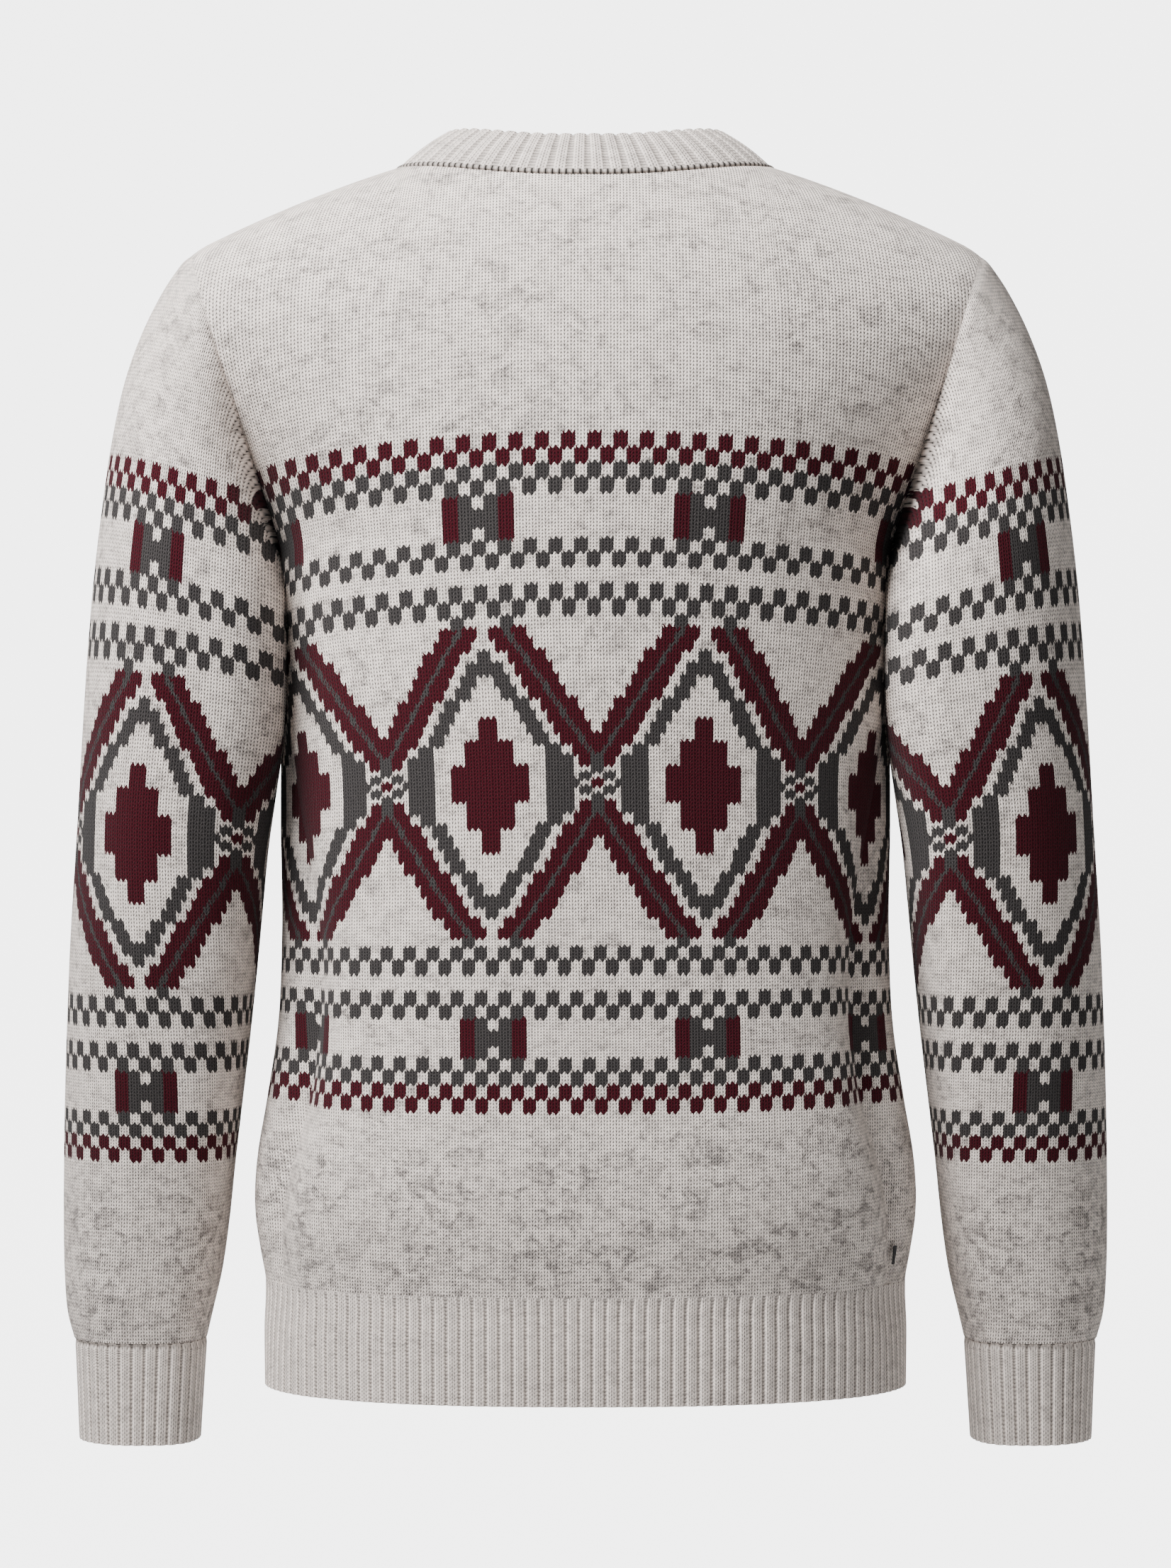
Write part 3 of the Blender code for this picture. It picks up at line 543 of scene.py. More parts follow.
def sleeve_stitches(points, angles, right):
    """Stitch and course of each point of a sleeve's grid."""
    middle = points.mean(axis=1)
    upper = np.interp(middle[:, 2], STRETCH_HEIGHTS, (0.0, 1.0))
    inner = np.clip(STRETCH_COSINE - np.cos((angles[1:] + angles[:-1]) / 2), 0.0, 1.0)
    moves = np.diff(points, axis=1)
    moves[:, :, 1:] *= 1.0 - INNER_STRETCH * (upper[:, None] * inner)[:, :, None]
    along = running_total(np.linalg.norm(moves, axis=2), axis=1)
    gauge = SleeveGauge(*smooth_columns(SLEEVE_GAUGE, middle[:, 2]).T)
    line = np.radians(gauge.right_degrees if right else gauge.left_degrees)
    start = np.array([np.interp(line[i], angles, along[i]) for i in range(len(points))])
    line_x = np.array([np.interp(line[i], angles, points[i, :, 0]) for i in range(len(points))])
    stitch = DIAMOND_STITCH + (along - start[:, None]) / gauge.width[:, None]
    level = points[:, :, 2] - gauge.tilt[:, None] * (points[:, :, 0] - line_x[:, None])
    lowest, highest = SLEEVE_COURSES[-1].height, SLEEVE_COURSES[0].height
    course = courses_at(SLEEVE_COURSES, np.clip(level, lowest, highest))
    over = np.maximum(level - highest, 0.0)
    return stitch, course - over / COURSE_HEIGHT


def rib_relief(places):
    """A rib's height above its trough, from 0 to 1, at places counted in ribs."""
    part = places % 1.0
    rise = np.clip((0.5 - RIB_TROUGH - np.abs(part - 0.5)) / RIB_FLANK, 0.0, 1.0)
    edge = sum(np.exp(-((part - place) / RIB_EDGE_WIDTH) ** 2)
               for place in (RIB_EDGE_AT, 1.0 - RIB_EDGE_AT))
    return rise * rise * (3.0 - 2.0 * rise) * (1.0 - RIB_EDGE_SHARE * (1.0 - edge))


def at_lengths(line, lengths):
    """Points at the given lengths along a line."""
    known = lengths_along(line)
    return np.stack([np.interp(lengths, known, line[:, axis]) for axis in range(3)], axis=-1)


def grid_normals(points, closed=False):
    """Unit normals of a grid of points."""
    if closed:
        ring = points[:, :-1]
        around = np.roll(ring, -1, axis=1) - np.roll(ring, 1, axis=1)
        around = np.concatenate((around, around[:, :1]), axis=1)
    else:
        around = np.gradient(points, axis=1)
    normals = np.cross(around, np.gradient(points, axis=0))
    normals /= np.maximum(np.linalg.norm(normals, axis=2, keepdims=True), 1e-12)
    outward = np.sum(normals * (points - points.mean(axis=(0, 1))))
    return normals if outward > 0 else -normals


def add_cloth(name, points, stitch, course, wall, closed=False):
    """A grid shaped to the cloth and given its thickness, with stitches and courses as its UV
    map. Without a thickness the grid is a closed tube, to be joined to a piece."""
    bpy.ops.object.select_all(action='DESELECT')
    rows, columns = points.shape[:2]
    bpy.ops.mesh.primitive_grid_add(x_subdivisions=columns - 1, y_subdivisions=rows - 1, size=1.0,
                                    location=(0.0, 0.0, 0.0))
    piece = bpy.context.object
    piece.name = name
    mesh = piece.data
    mesh.name = name
    flat = np.empty(len(mesh.vertices) * 3)
    mesh.vertices.foreach_get("co", flat)
    flat = flat.reshape(-1, 3)
    column = np.rint((flat[:, 0] + 0.5) * (columns - 1)).astype(int)
    row = np.rint((flat[:, 1] + 0.5) * (rows - 1)).astype(int)
    mesh.vertices.foreach_set("co", points[row, column].ravel())
    corners = np.empty(len(mesh.loops), dtype=np.int32)
    mesh.loops.foreach_get("vertex_index", corners)
    knit = np.stack((stitch[row, column], course[row, column]), axis=-1)
    layer = mesh.uv_layers[0]
    layer.name = "Stitches"
    layer.data.foreach_set("uv", knit[corners].ravel())
    mesh.update()
    bpy.ops.object.mode_set(mode='EDIT')
    bpy.ops.mesh.select_all(action='SELECT')
    if closed:
        bpy.ops.mesh.remove_doubles(threshold=WELD_DISTANCE)
    bpy.ops.mesh.normals_make_consistent(inside=False)
    bpy.ops.object.mode_set(mode='OBJECT')
    bpy.ops.object.shade_smooth_by_angle(angle=SMOOTH_ANGLE)
    if wall == 0.0:
        return piece
    turn_outward(mesh, points.reshape(-1, 3).mean(axis=0))
    thick = piece.modifiers.new("Cloth", 'SOLIDIFY')
    thick.thickness = wall
    thick.offset = 0.0
    thick.use_even_offset = False
    thick.use_quality_normals = True
    bpy.ops.object.modifier_apply(modifier=thick.name)
    bpy.ops.object.shade_smooth_by_angle(angle=SMOOTH_ANGLE)
    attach(piece, "root")
    return piece


def turn_outward(mesh, centre):
    """Flip an open surface whose faces point towards its centre."""
    total = 0.0
    for face in mesh.polygons:
        away = face.center - Vector(centre)
        total += face.normal.dot(away) * face.area
    if total < 0:
        mesh.flip_normals()


def mirrored(points):
    """The same grid on the wearer's right."""
    return points * np.array((-1.0, 1.0, 1.0))


def math_node(operation, flipped=False):
    """A method that adds one Math node to a value and what it is worked with."""
    def method(self, *others):
        values = [self, *others]
        if flipped:
            values.reverse()
        return self.nodes.add("Math", values, operation=operation)
    return method


class Yarn:
    """A shader value or colour that adds Math nodes as it is worked with."""

    def __init__(self, nodes, socket):
        self.nodes = nodes
        self.socket = socket

    __add__ = __radd__ = math_node('ADD')
    __sub__ = math_node('SUBTRACT')
    __rsub__ = math_node('SUBTRACT', flipped=True)
    __mul__ = __rmul__ = math_node('MULTIPLY')
    __truediv__ = math_node('DIVIDE')
    __pow__ = math_node('POWER')
    __mod__ = math_node('FLOORED_MODULO')
    __lt__ = math_node('LESS_THAN')
    __gt__ = math_node('GREATER_THAN')
    __abs__ = math_node('ABSOLUTE')
    __or__ = math_node('MAXIMUM')
    __and__ = math_node('MINIMUM')
    floor = math_node('FLOOR')
    sine = math_node('SINE')
    pingpong = math_node('PINGPONG')

    def clamped(self):
        """The value kept between 0 and 1."""
        return (self | 0.0) & 1.0

    def ramp(self, start, slope):
        """0 below a start, rising by a slope to 1."""
        return ((self - start) * slope).clamped()


class YarnNodes:
    """The nodes of one material."""

    def __init__(self, name):
        self.material = bpy.data.materials.new(name)
        self.material.use_nodes = True
        self.tree = self.material.node_tree
        self.tree.nodes.clear()

    def add(self, kind, values=(), output=0, **settings):
        """One node of a type, given its settings and then its sockets' values or links."""
        node = self.tree.nodes.new("ShaderNode" + kind)
        for key, value in settings.items():
            setattr(node, key, value)
        pairs = values.items() if isinstance(values, dict) else enumerate(values)
        for key, value in pairs:
            if isinstance(value, Yarn):
                self.tree.links.new(value.socket, node.inputs[key])
            else:
                node.inputs[key].default_value = value
        return Yarn(self, node.outputs[output]) if node.outputs else None

    def blend(self, factor, first, second, blend_type='MIX'):
        """A colour between two others, or blended with them in another way."""
        first, second = (colour if isinstance(colour, Yarn) else (*colour, 1.0)
                         for colour in (first, second))
        return self.add("Mix", {0: factor, 6: first, 7: second}, output=2, data_type='RGBA',
                        blend_type=blend_type)

    def shaded(self, colour, shade):
        """A colour made lighter or darker by a value."""
        grey = self.add("CombineColor", [shade, shade, shade])
        return self.blend(1.0, colour, grey, 'MULTIPLY')

    def stitches(self):
        """Stitch, course and both as a place across the cloth, from its UV map."""
        place = self.add("UVMap", uv_map="Stitches")
        stitch = self.add("SeparateXYZ", [place])
        return stitch, Yarn(self, stitch.socket.node.outputs[1]), place

    def noise(self, place, scale, detail=2.0, roughness=0.5, distortion=0.0,
              spread=(1.0, 1.0, 1.0)):
        """Noise from 0 to 1 over a place, stretched by a spread."""
        stretched = self.add("Mapping", {"Vector": place, "Scale": spread})
        return self.add("TexNoise", {"Vector": stretched, "Scale": scale, "Detail": detail,
                                     "Roughness": roughness, "Distortion": distortion})

    def finish(self, colour, relief, distance, strength=CLOTH_BUMP,
               roughness=CLOTH_ROUGHNESS, sheen=CLOTH_SHEEN):
        """The cloth's shader, with a relief as its bump, and the material's output."""
        normal = self.add("Bump", {"Strength": strength, "Distance": distance, "Height": relief})
        shader = self.add("BsdfPrincipled", {
            "Base Color": colour, "Roughness": roughness, "Normal": normal,
            "Sheen Weight": sheen, "Sheen Roughness": 0.5, "Specular IOR Level": 0.15})
        self.add("OutputMaterial", {"Surface": shader})
        return self.material


def between(value, low, high):
    """1 where a value is within a band, and 0 elsewhere."""
    return (value > low) * (value < high)


def loop_relief_and_shade(out, slanted):
    """How light a place in a stitch is, as painted shade of its relief: its two legs are full,
    and the small gaps between the legs and between the stitches are dark, where shade falls."""
    from_leg = (out * 2.0 - 1.0) ** 2.0
    from_middle = 1.0 - ((slanted % 1.0) * math.pi).sine()
    return 1.0 - from_leg * 0.30 - from_middle * 0.16 - from_leg * from_middle * 1.1


def knit_loops(stitch, course):
    """Where a point lies within its stitch: out from the wale's centre, and along the leg."""
    out = abs((stitch % 1.0) * 2.0 - 1.0)
    slanted = course + (out - 0.5) * 1.1
    return out, slanted


def checks(side, up, start):
    """1 in every other check, two stitches wide and four courses high, from a course on."""
    return (((side + 1.0) * 0.5).floor() + ((up - start) * 0.25).floor()) % 2.0


def jacquard_chart(stitch, course):
    """Masks of the dark red and the charcoal yarn. The chart repeats every 36 stitches round
    and mirrors about its middle course, with a crossing at stitch 0 and a diamond at 18."""
    _, slanted = knit_loops(stitch, course)
    column = (stitch * 2.0).floor() * 0.5 + 0.25
    row = slanted.floor() + 0.5
    from_crossing = column.pingpong(DIAMOND_STITCH)
    side = DIAMOND_STITCH - from_crossing
    up = abs(row - MIDDLE_COURSE)

    # Bands of checks
    edge_checks = 1.0 - checks(side, up, 78.0)
    red = between(up, 86.0, 94.0) * edge_checks
    charcoal = between(up, 78.0, 86.0) * edge_checks
    for start in (57.0, 44.0):
        charcoal |= between(up, start, start + 8.0) * checks(side, up, start)

    # H figures between the bands
    bar = between(up, 65.0, 78.0)
    notch = (side < 1.0) * (1.0 - between(up, 69.0, 74.0))
    red |= bar * between(side, 3.0, 5.5)
    charcoal |= bar * (side < 3.0) * (1.0 - notch)

    # The arms of the crosses between diamonds, from their tips, each with a vein
    charcoal |= between(up, 41.0, 44.0) * between(side, 3.0, 5.0)
    in_arms = between(up, 8.0, 41.0)
    below_tip = 41.0 - up
    arm = ((below_tip / 3.0).floor() * (14.0 / 11.0) + 4.5).floor()
    vein = in_arms * (abs(side - (below_tip * (14.0 / 33.0) + 3.4)) < 0.30)
    red |= in_arms * (abs(side - arm) < 3.0) * (1.0 - vein)
    charcoal |= vein

    # The inner diamond with its tips and its waist
    outer = arm - 5.0
    inner = ((arm - 7.75) & 9.5) * (up < 29.0)
    charcoal |= between(up, 8.0, 32.0) * (side < outer) * (side > inner)
    charcoal |= between(up, 32.0, 35.0) * (side < 1.0)
    charcoal |= (up < 8.0) * (side > 9.5) * (side < 14.0 + (up < 1.0))

    # The stepped cross in its middle
    for half_height, half_width in ((5.5, 6.5), (12.0, 4.0), (18.0, 1.5)):
        red |= (up < half_height) * (side < half_width)

    # The small checks where the arms cross
    stem = from_crossing < 1.0
    red |= (up < 1.0) * stem
    charcoal |= between(up, 1.0, 3.0) * between(from_crossing, 1.0, 3.0)
    charcoal |= between(up, 3.0, 8.0) * stem
    red |= between(up, 5.0, 8.0) * between(from_crossing, 1.0, 3.0)
    return red, charcoal * (1.0 - red)


def inlaid(stitch, course):
    """The chart's masks with the dark yarns swelling a little over the light one."""
    red, charcoal = jacquard_chart(stitch + SWELL_ACROSS, course + SWELL_DOWN)
    more_red, more_charcoal = jacquard_chart(stitch - SWELL_ACROSS, course - SWELL_DOWN)
    dark = red | more_red | charcoal | more_charcoal
    reddish = red + more_red > charcoal + more_charcoal
    return dark * reddish, dark * (1.0 - reddish)


def heather_mottle(nodes, place, spread):
    """How much grey fibre shows in the light yarn, in short wandering flecks."""
    clouds = nodes.noise(place, 0.10, detail=1.0, spread=spread)
    blots = nodes.noise(place, 0.34, detail=3.0, roughness=0.6, distortion=0.9, spread=spread)
    strokes = nodes.noise(place, 0.66, detail=2.0, roughness=0.6, distortion=0.6, spread=spread)
    fine = nodes.noise(place, 1.5, detail=3.0, roughness=0.7, spread=spread)
    much = clouds.ramp(0.38, 4.0) * 0.4 + 0.6
    patches = blots.ramp(0.42, 3.6) * 0.62 + strokes.ramp(0.50, 5.0) * 0.52
    return (patches * much + fine.ramp(0.42, 2.4) * 0.30 + 0.01).clamped()


def knit_material(name, colours):
    """Plain and patterned jersey, knitted stitch by stitch."""
    nodes = YarnNodes(name)
    stitch, course, place = nodes.stitches()
    fuzz = nodes.noise(place, 2.7) - 0.5
    fuzz_across = nodes.noise(place, 3.3, spread=(1.0, 1.3, 1.0)) - 0.5
    red, charcoal = inlaid(stitch + fuzz_across * 0.45, course + fuzz * 0.7)
    # Painted shade of the stitches' relief, dark in their gaps; the same loops give the bump's
    # height
    loop = loop_relief_and_shade(*knit_loops(stitch, course))
    mottle = heather_mottle(nodes, place, (0.85, 0.68, 1.0))
    mottle = (mottle * (course.ramp(CHART_END, 0.05) * 0.45 + 1.0)).clamped()
    light = nodes.blend(mottle, colours.light, colours.heather)
    dark = nodes.blend(red, colours.charcoal, colours.red)
    colour = nodes.blend(red | charcoal, light, dark)
    lint = nodes.noise(place, 1.3, detail=4.0, roughness=0.7)
    speckle = nodes.noise(place, 4.5, roughness=0.7)
    flecked = speckle.ramp(0.56, 5.0) * (red * 0.045 + charcoal * 0.11)
    colour = nodes.blend(flecked, colour, colours.light)
    # The loops' painted shade, times the yarn's own uneven lint
    shade = (loop.clamped() * 1.45 + 0.08) * ((lint - 0.5) * 0.7 + 1.0)
    return nodes.finish(nodes.shaded(colour, shade), loop * 0.8 + lint * 0.5, 0.0011)


def rib_material(name, colours, edge_highlight):
    """Rib knit: knit columns on the crests and purl bars in the troughs, with painted highlights
    on the crests' edges and painted shade in the troughs.
    """
    nodes = YarnNodes(name)
    rib, course, place = nodes.stitches()
    part = rib % 1.0
    crest = between(part, 0.18, 0.82)
    wale = abs(((part - 0.2) / 0.3) % 1.0 * 2.0 - 1.0)
    slanted = course + (wale - 0.5) * 0.7 * crest
    along = ((slanted % 1.0) * math.pi).sine()
    # The loops' painted shade, darker on the troughs' purl bars; the same loops give the bump's
    # height
    loop = crest * loop_relief_and_shade(wale, slanted) + (1.0 - crest) * (along * 0.75)
    mottle = heather_mottle(nodes, place, (2.3, 1.1, 1.0)) * 0.6
    light = nodes.blend(mottle, colours.light, colours.heather)
    lint = nodes.noise(place, 1.7, detail=4.0, roughness=0.7, spread=(2.0, 1.0, 1.0))
    # Painted highlights on the crests' edges, painted shade towards the troughs and in the groove
    # between each crest's two wales
    lines = (abs(part - 0.24) < 0.05) | (abs(part - 0.76) < 0.05)
    from_middle = abs(part - 0.5)
    painted_highlights_and_shade = lines * edge_highlight - from_middle.ramp(0.22, 8.0) * 0.21 - (from_middle < 0.07) * 0.26
    shade = (loop * 0.70 + 0.58 + painted_highlights_and_shade) * ((lint - 0.5) * 0.5 + 1.0)
    return nodes.finish(nodes.shaded(light, shade), loop * 0.8 + lint * 0.5, 0.0010)


def tape_material(name, colours):
    """Plain woven tape."""
    nodes = YarnNodes(name)
    place = nodes.add("TexCoord", output=3)
    weave = nodes.noise(place, 2600.0, detail=1.0, spread=(1.0, 1.0, 0.4))
    colour = nodes.blend(weave, colours.tag, TAPE_THREAD)
    return nodes.finish(colour, weave, 0.0002, strength=0.4, roughness=0.7, sheen=0.0)


def settings():
    """The scene's sizes, colours and stage."""
    return [getattr(bpy.context.scene, name) for name in SETTINGS]


def shared_material(name, make, *options):
    """A material by name, made from the yarns' colours the first time that it is asked for."""
    _, colours, _ = settings()
    return bpy.data.materials.get(name) or make(name, colours, *options)


def dress(piece, material):
    """Give a piece its one material."""
    piece.data.materials.clear()
    piece.data.materials.append(material)


class SWEATER_OT_panels(bpy.types.Operator):
    """Knit the back and the front, from the hem seam to the shoulder seams"""
    bl_idname = "sweater.panels"
    bl_label = "Back and front"

    body_rows: bpy.props.IntProperty(
        name="Body rows", description="Rows of faces below the underarm",
        default=104, min=10, max=400)
    yoke_rows: bpy.props.IntProperty(
        name="Yoke rows", description="Rows of faces above the underarm",
        default=60, min=10, max=200)

    def execute(self, context):
        sizes, _, _ = settings()
        columns = panel_columns(NECK_COLUMNS, SHOULDER_COLUMNS)
        grids = [panel_points(side, self.body_rows, self.yoke_rows, columns) for side in (1, -1)]
        knit = shared_material("jersey", knit_material)
        for name, grid, (stitch, course) in zip(("back", "front"), grids, panel_stitches(grids)):
            piece = add_cloth(name + "_cloth", tucked(grid), stitch, course, sizes.wall)
            dress(piece, knit)
            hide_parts(name)
        return {'FINISHED'}


def tucked(grid, closed=False):
    """The grid drawn inward a little along its sewn edges. A panel's first row and a
    sleeve's last row run on into the rib, so they keep their form."""
    normals = grid_normals(grid, closed)
    depth = np.exp(-(lengths_to_row(grid if closed else grid[::-1]) / SEAM_TUCK_REACH) ** 2)
    if not closed:
        depth = depth[::-1]
        turned = np.swapaxes(grid, 0, 1)
        for way in (1, -1):
            sideways = np.swapaxes(lengths_to_row(turned[::way])[::way], 0, 1)
            depth = np.maximum(depth, np.exp(-(sideways / SEAM_TUCK_REACH) ** 2))
    return grid - normals * depth[:, :, None] * SEAM_TUCK


class SWEATER_OT_sleeves(bpy.types.Operator):
    """Knit both sleeves, from the armhole to the cuff seam"""
    bl_idname = "sweater.sleeves"
    bl_label = "Sleeves"

    def execute(self, context):
        sizes, _, _ = settings()
        angles = np.linspace(-np.pi, np.pi, SLEEVE_COLUMNS + 1)
        grid = sleeve_points(0.0, CUFF_SEAM_RING, SLEEVE_ROWS, angles)
        knit = shared_material("jersey", knit_material)
        for name, right in (("sleeve_left", False), ("sleeve_right", True)):
            stitch, course = sleeve_stitches(grid, angles, right)
            points = tucked(grid, closed=True)
            if right:
                points = mirrored(points)
            piece = add_cloth(name + "_cloth", points, stitch, course, sizes.wall, closed=True)
            dress(piece, knit)
            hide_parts(name)
        return {'FINISHED'}


def add_rib(name, points, ribs, courses, closed):
    """A ribbed band over a grid of points, whose first row lies on the seam."""
    sizes, _, _ = settings()
    rows, columns = points.shape[:2]
    places = np.linspace(0.0, ribs, columns)
    rib = np.broadcast_to(places, (rows, columns))
    course = np.broadcast_to(np.linspace(0.0, courses, rows)[:, None], (rows, columns))
    relief = (rib_relief(places) - RIB_SUNK) * sizes.rib_relief
    fade = np.clip(np.arange(rows) / RIB_START_ROWS, 0.0, 1.0)
    raised = points + grid_normals(points, closed) * (relief * fade[:, None])[:, :, None]
    if closed:
        raised[:, -1] = raised[:, 0]
    return add_cloth(name, raised, rib, course, sizes.wall, closed)


def rib_places(ribs, lengths, places):
    """Places along a seam, evenly spaced for its ribs, from lengths and places known on it."""
    return np.interp(np.linspace(0.0, lengths[-1], ribs * POINTS_TO_RIB + 1), lengths, places)


class SWEATER_OT_hem(bpy.types.Operator):
    """Knit the hem's rib in its back and front halves"""
    bl_idname = "sweater.hem"
    bl_label = "Hem rib"

    def execute(self, context):
        sizes, _, _ = settings()
        heights = np.linspace(HEM_SEAM, HEM_BOTTOM, HEM_ROWS + 1)
        rib = shared_material("rib", rib_material, EDGE_HIGHLIGHT)
        fine = np.linspace(-1.0, 1.0, HEM_SAMPLES)
        lines = {side: body_surface(HEM_SEAM, panel_turns(side, HEM_SEAM, fine))
                 for side in (1, -1)}
        round_hem = sum(lengths_along(line)[-1] for line in lines.values())
        for name, side in (("hem_rib_back", 1), ("hem_rib_front", -1)):
            lengths = lengths_along(lines[side])
            ribs = round(sizes.hem_ribs * lengths[-1] / round_hem)
            across = rib_places(ribs, lengths, fine)
            grid = np.array([body_surface(height, panel_turns(side, HEM_SEAM, across))
                             for height in heights])
            piece = add_rib(name + "_cloth", grid, ribs, HEM_COURSES, False)
            dress(piece, rib)
            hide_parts(name)
        return {'FINISHED'}


class SWEATER_OT_cuffs(bpy.types.Operator):
    """Knit both cuffs"""
    bl_idname = "sweater.cuffs"
    bl_label = "Cuffs"

    def execute(self, context):
        sizes, _, _ = settings()
        rib = shared_material("rib", rib_material, EDGE_HIGHLIGHT)
        last = len(SLEEVE_RINGS) - 1
        fine = np.linspace(-np.pi, np.pi, CUFF_SAMPLES)
        lengths = lengths_along(ring_surface(sleeve_ring([CUFF_SEAM_RING]), fine))
        angles = rib_places(sizes.cuff_ribs, lengths, fine)
        rows = (*np.linspace(CUFF_SEAM_RING, last - 1, CUFF_TOP_ROWS + 1)[:-1],
                *np.linspace(last - 1, last, CUFF_ROWS + 1))
        grid = np.array([ring_surface(sleeve_ring([place]), angles) for place in rows])
        for name in ("cuff_left", "cuff_right"):
            points = mirrored(grid) if name == "cuff_right" else grid
            piece = add_rib(name + "_cloth", points, sizes.cuff_ribs, HEM_COURSES, True)
            dress(piece, rib)
            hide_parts(name)
        return {'FINISHED'}


def neck_seam(points):
    """The neck seam, from the left shoulder round the back to the right and round the front."""
    neck = neck_across()
    across = neck * np.sin(np.linspace(np.pi / 2, -np.pi / 2, points))
    back = yoke_surface(1, across, top_rises(1, across))
    front = yoke_surface(-1, across[::-1], top_rises(-1, across[::-1]))
    return np.concatenate((back, front[1:]))


def band_edge(points):
    """The neckband's top edge above points of the neck seam."""
    from_centre = points[:, :2] - np.array((0.0, BAND_CENTRE_Y))
    direction = from_centre / np.linalg.norm(from_centre, axis=1, keepdims=True)
    to_back = np.maximum(direction[:, 1], 0.0) ** 2
    to_front = np.maximum(-direction[:, 1], 0.0) ** 2
    to_side = 1.0 - to_back - to_front
    shrink, rise = (BAND_BACK[i] * to_back + BAND_FRONT[i] * to_front + BAND_SIDE[i] * to_side
                    for i in (0, 1))
    drawn = from_centre * shrink[:, None]
    return np.stack((drawn[:, 0], BAND_CENTRE_Y + drawn[:, 1], points[:, 2] + rise), axis=-1)


def add_linking(band, sizes):
    """The row of small chain loops that links the neckband to the panels."""
    total = lengths_along(band[0])[-1]
    loops = round(total / LINKING_PITCH)
    lengths = np.linspace(0.0, total, loops * POINTS_TO_LOOP + 1)
    line = at_lengths(band[0], lengths)
    above = at_lengths(band[2], lengths / total * lengths_along(band[2])[-1])
    along = np.gradient(line, axis=0)
    along[0] = along[-1] = line[1] - line[-2]
    along /= np.linalg.norm(along, axis=1, keepdims=True)
    up = above - line
    up -= along * np.sum(up * along, axis=1, keepdims=True)
    up /= np.linalg.norm(up, axis=1, keepdims=True)
    out = np.cross(along, up)
    if np.sum(out * (line - line.mean(axis=0))) < 0:
        out = -out
    swell = 1.0 - LINKING_PINCH * (1.0 - np.abs(np.sin(lengths / total * loops * np.pi)))
    rows = []
    for angle in np.linspace(0.0, 2.0 * np.pi, POINTS_ROUND_LOOP + 1):
        around = out * np.cos(angle) + up * np.sin(angle) * LINKING_HEIGHT
        rows.append(line + out * sizes.wall * LINKING_STAND
                    + around * (swell * LINKING_RADIUS)[:, None])
    points = np.array(rows)
    points[-1] = points[0]
    points[:, -1] = points[:, 0]
    stitch = np.broadcast_to(0.5, points.shape[:2])
    course = np.broadcast_to(lengths / LINKING_PITCH, points.shape[:2])
    return add_cloth("neckband_linking", points, stitch, course, 0.0, closed=True)


class SWEATER_OT_neckband(bpy.types.Operator):
    """Knit the ribbed neckband"""
    bl_idname = "sweater.neckband"
    bl_label = "Neckband"

    def execute(self, context):
        sizes, _, _ = settings()
        # The neckband's crest edges get no painted highlights; its troughs keep their painted
        # shade
        rib = shared_material("neck_rib", rib_material, 0.0)
        seam = neck_seam(NECK_SAMPLES)
        total = lengths_along(seam)[-1]
        base = at_lengths(seam, np.linspace(0.0, total, sizes.neck_ribs * POINTS_TO_RIB + 1))
        top = band_edge(base)
        grid = np.array([base * (1.0 - part) + top * part
                         for part in np.linspace(0.0, 1.0, BAND_ROWS + 1)])
        bulge = np.sin(np.linspace(0.0, BAND_BULGE_TURN, BAND_ROWS + 1))
        grid = grid + grid_normals(grid, closed=True) * (BAND_BULGE * bulge)[:, None, None]
        piece = add_rib("neckband_cloth", grid, sizes.neck_ribs, BAND_COURSES, True)
        linking = add_linking(grid, sizes)
        bpy.ops.object.select_all(action='DESELECT')
        linking.select_set(True)
        piece.select_set(True)
        context.view_layer.objects.active = piece
        bpy.ops.object.join()
        dress(piece, rib)
        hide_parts("neckband")
        return {'FINISHED'}


class SWEATER_OT_tag(bpy.types.Operator):
    """Give the side tag its woven tape"""
    bl_idname = "sweater.tag"
    bl_label = "Side tag"

    def execute(self, context):
        dress(bpy.data.objects["side_tag"], shared_material("tape", tape_material))
        return {'FINISHED'}


class SWEATER_OT_stage(bpy.types.Operator):
    """Make the floor, the lights and the camera"""
    bl_idname = "sweater.stage"
    bl_label = "Stage"

    def execute(self, context):
        _, _, stage = settings()
        add_floor(stage)
        add_world(stage)
        add_key(stage)
        add_camera(stage)
        return {'FINISHED'}


def add_floor(stage):
    """A matt floor that glows evenly, for the camera alone."""
    bpy.ops.object.select_all(action='DESELECT')
    bpy.ops.mesh.primitive_grid_add(x_subdivisions=2, y_subdivisions=80, size=1.0,
                                    location=(0.0, 0.0, 0.0))
    floor = bpy.context.object
    floor.name = "floor"
    sweep_up(floor.data, stage.floor_height)
    nodes = YarnNodes("floor")
    shader = nodes.add("BsdfPrincipled", {
        "Base Color": (*stage.floor_colour, 1.0), "Roughness": 0.95, "Specular IOR Level": 0.0,
        "Emission Color": (1.0, 1.0, 1.0, 1.0),
        "Emission Strength": nodes.add("LightPath") * stage.floor_glow})
    nodes.add("OutputMaterial", {"Surface": shader})
    dress(floor, nodes.material)


def add_world(stage):
    """Even white light from all round."""
    world = bpy.data.worlds.new("studio")
    world.use_nodes = True
    sky = world.node_tree.nodes["Background"]
    sky.inputs[0].default_value = (1.0, 1.0, 1.0, 1.0)
    sky.inputs[1].default_value = stage.fill
    bpy.context.scene.world = world


def add_key(stage):
    """The large soft light, turned to the frame's origin."""
    data = bpy.data.lights.new("key", 'AREA')
    data.shape = 'SQUARE'
    data.size = KEY_SIZE
    data.energy = stage.key_power
    data.spread = KEY_SPREAD
    light = bpy.data.objects.new("key", data)
    bpy.context.scene.collection.objects.link(light)
    light.location = KEY_PLACE
    light.rotation_euler = Vector(KEY_PLACE).to_track_quat('Z', 'Y').to_euler()


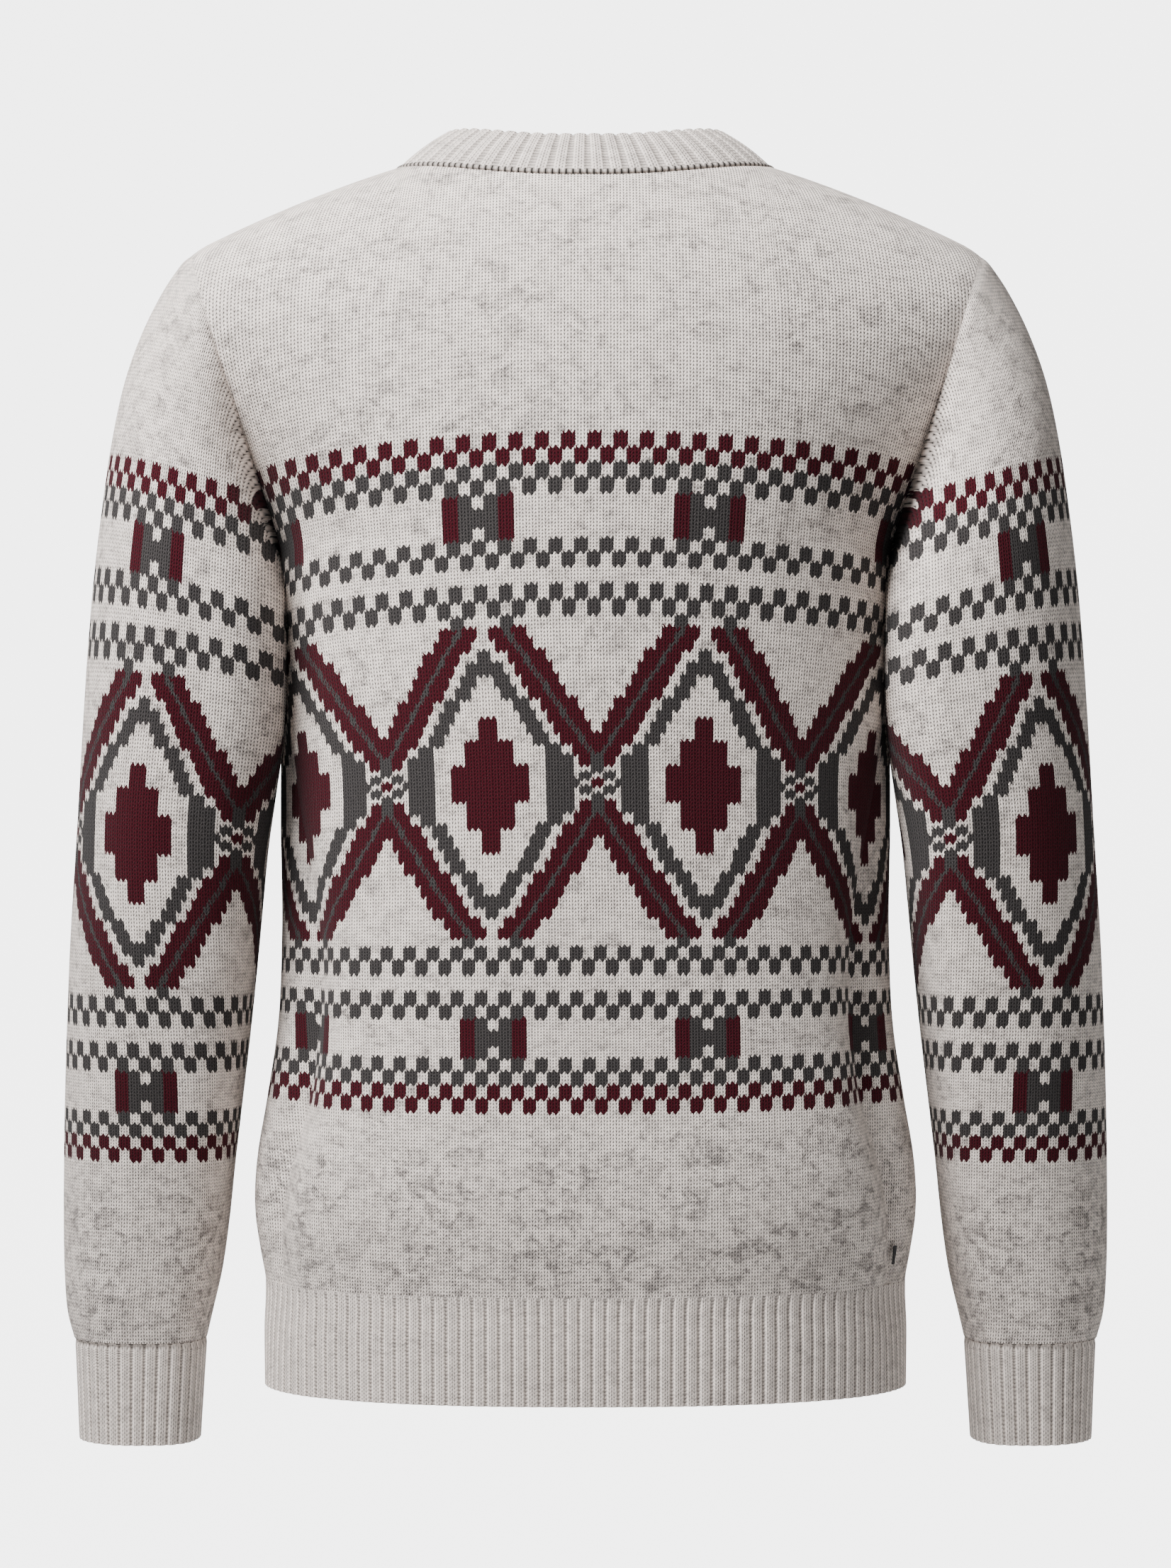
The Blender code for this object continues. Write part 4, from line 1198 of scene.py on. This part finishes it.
def add_camera(stage):
    """The camera behind the garment, level and square to it."""
    data = bpy.data.cameras.new("camera")
    data.sensor_fit = 'VERTICAL'
    data.sensor_height = SENSOR_HEIGHT
    data.lens = SENSOR_HEIGHT / 2 / math.tan(VIEW_ANGLE / 2)
    data.clip_end = VIEW_RANGE
    camera = bpy.data.objects.new("camera", data)
    bpy.context.scene.collection.objects.link(camera)
    camera.location = (0.0, stage.camera_distance, stage.camera_height)
    camera.rotation_euler = (math.radians(90.0), 0.0, math.radians(180.0))
    bpy.context.scene.camera = camera


def sweep_up(mesh, floor_height):
    """Shape a grid into a floor that curves up into a wall behind the garment."""
    front, wall, bend, top, width = 9.0, -4.5, 2.5, 8.0, 24.0
    turn = bend * math.pi / 2
    flat = front - wall - bend
    for vertex in mesh.vertices:
        run = (0.5 - vertex.co.y) * (flat + turn + top)
        if run < flat:
            y, z = front - run, 0.0
        elif run < flat + turn:
            angle = (run - flat) / bend
            y, z = wall + bend - bend * math.sin(angle), bend - bend * math.cos(angle)
        else:
            y, z = wall, bend + run - flat - turn
        vertex.co = (vertex.co.x * width, y, z + floor_height)
    mesh.update()


class SWEATER_PT_panel(bpy.types.Panel):
    """The sweater's tools"""
    bl_idname = "SWEATER_PT_panel"
    bl_label = "Jacquard sweater"
    bl_space_type = 'VIEW_3D'
    bl_region_type = 'UI'
    bl_category = "Sweater"

    def draw(self, context):
        for group in settings():
            box = self.layout.box()
            for name in group.bl_rna.properties.keys():
                if name not in {"rna_type", "name"}:
                    box.prop(group, name)
        for operator in PIECES:
            self.layout.operator(operator.bl_idname)


PIECES = (SWEATER_OT_panels, SWEATER_OT_sleeves, SWEATER_OT_hem, SWEATER_OT_cuffs,
          SWEATER_OT_neckband, SWEATER_OT_tag, SWEATER_OT_stage)
SETTINGS = {"sweater_sizes": SweaterSizes, "sweater_colours": SweaterColours,
            "sweater_stage": StageSettings}
CLASSES = (*SETTINGS.values(), *PIECES, SWEATER_PT_panel)


def register():
    """Add the classes and the scene's properties."""
    for each in CLASSES:
        bpy.utils.register_class(each)
    for name, group in SETTINGS.items():
        setattr(bpy.types.Scene, name, bpy.props.PointerProperty(type=group))


def unregister():
    """Take them away again."""
    for name in SETTINGS:
        delattr(bpy.types.Scene, name)
    for each in reversed(CLASSES):
        bpy.utils.unregister_class(each)


def main():
    """Make every piece."""
    register()
    bpy.ops.sweater.panels()
    bpy.ops.sweater.sleeves()
    bpy.ops.sweater.hem()
    bpy.ops.sweater.cuffs()
    bpy.ops.sweater.neckband()
    bpy.ops.sweater.tag()
    bpy.ops.sweater.stage()


if __name__ == "__main__":
    main()
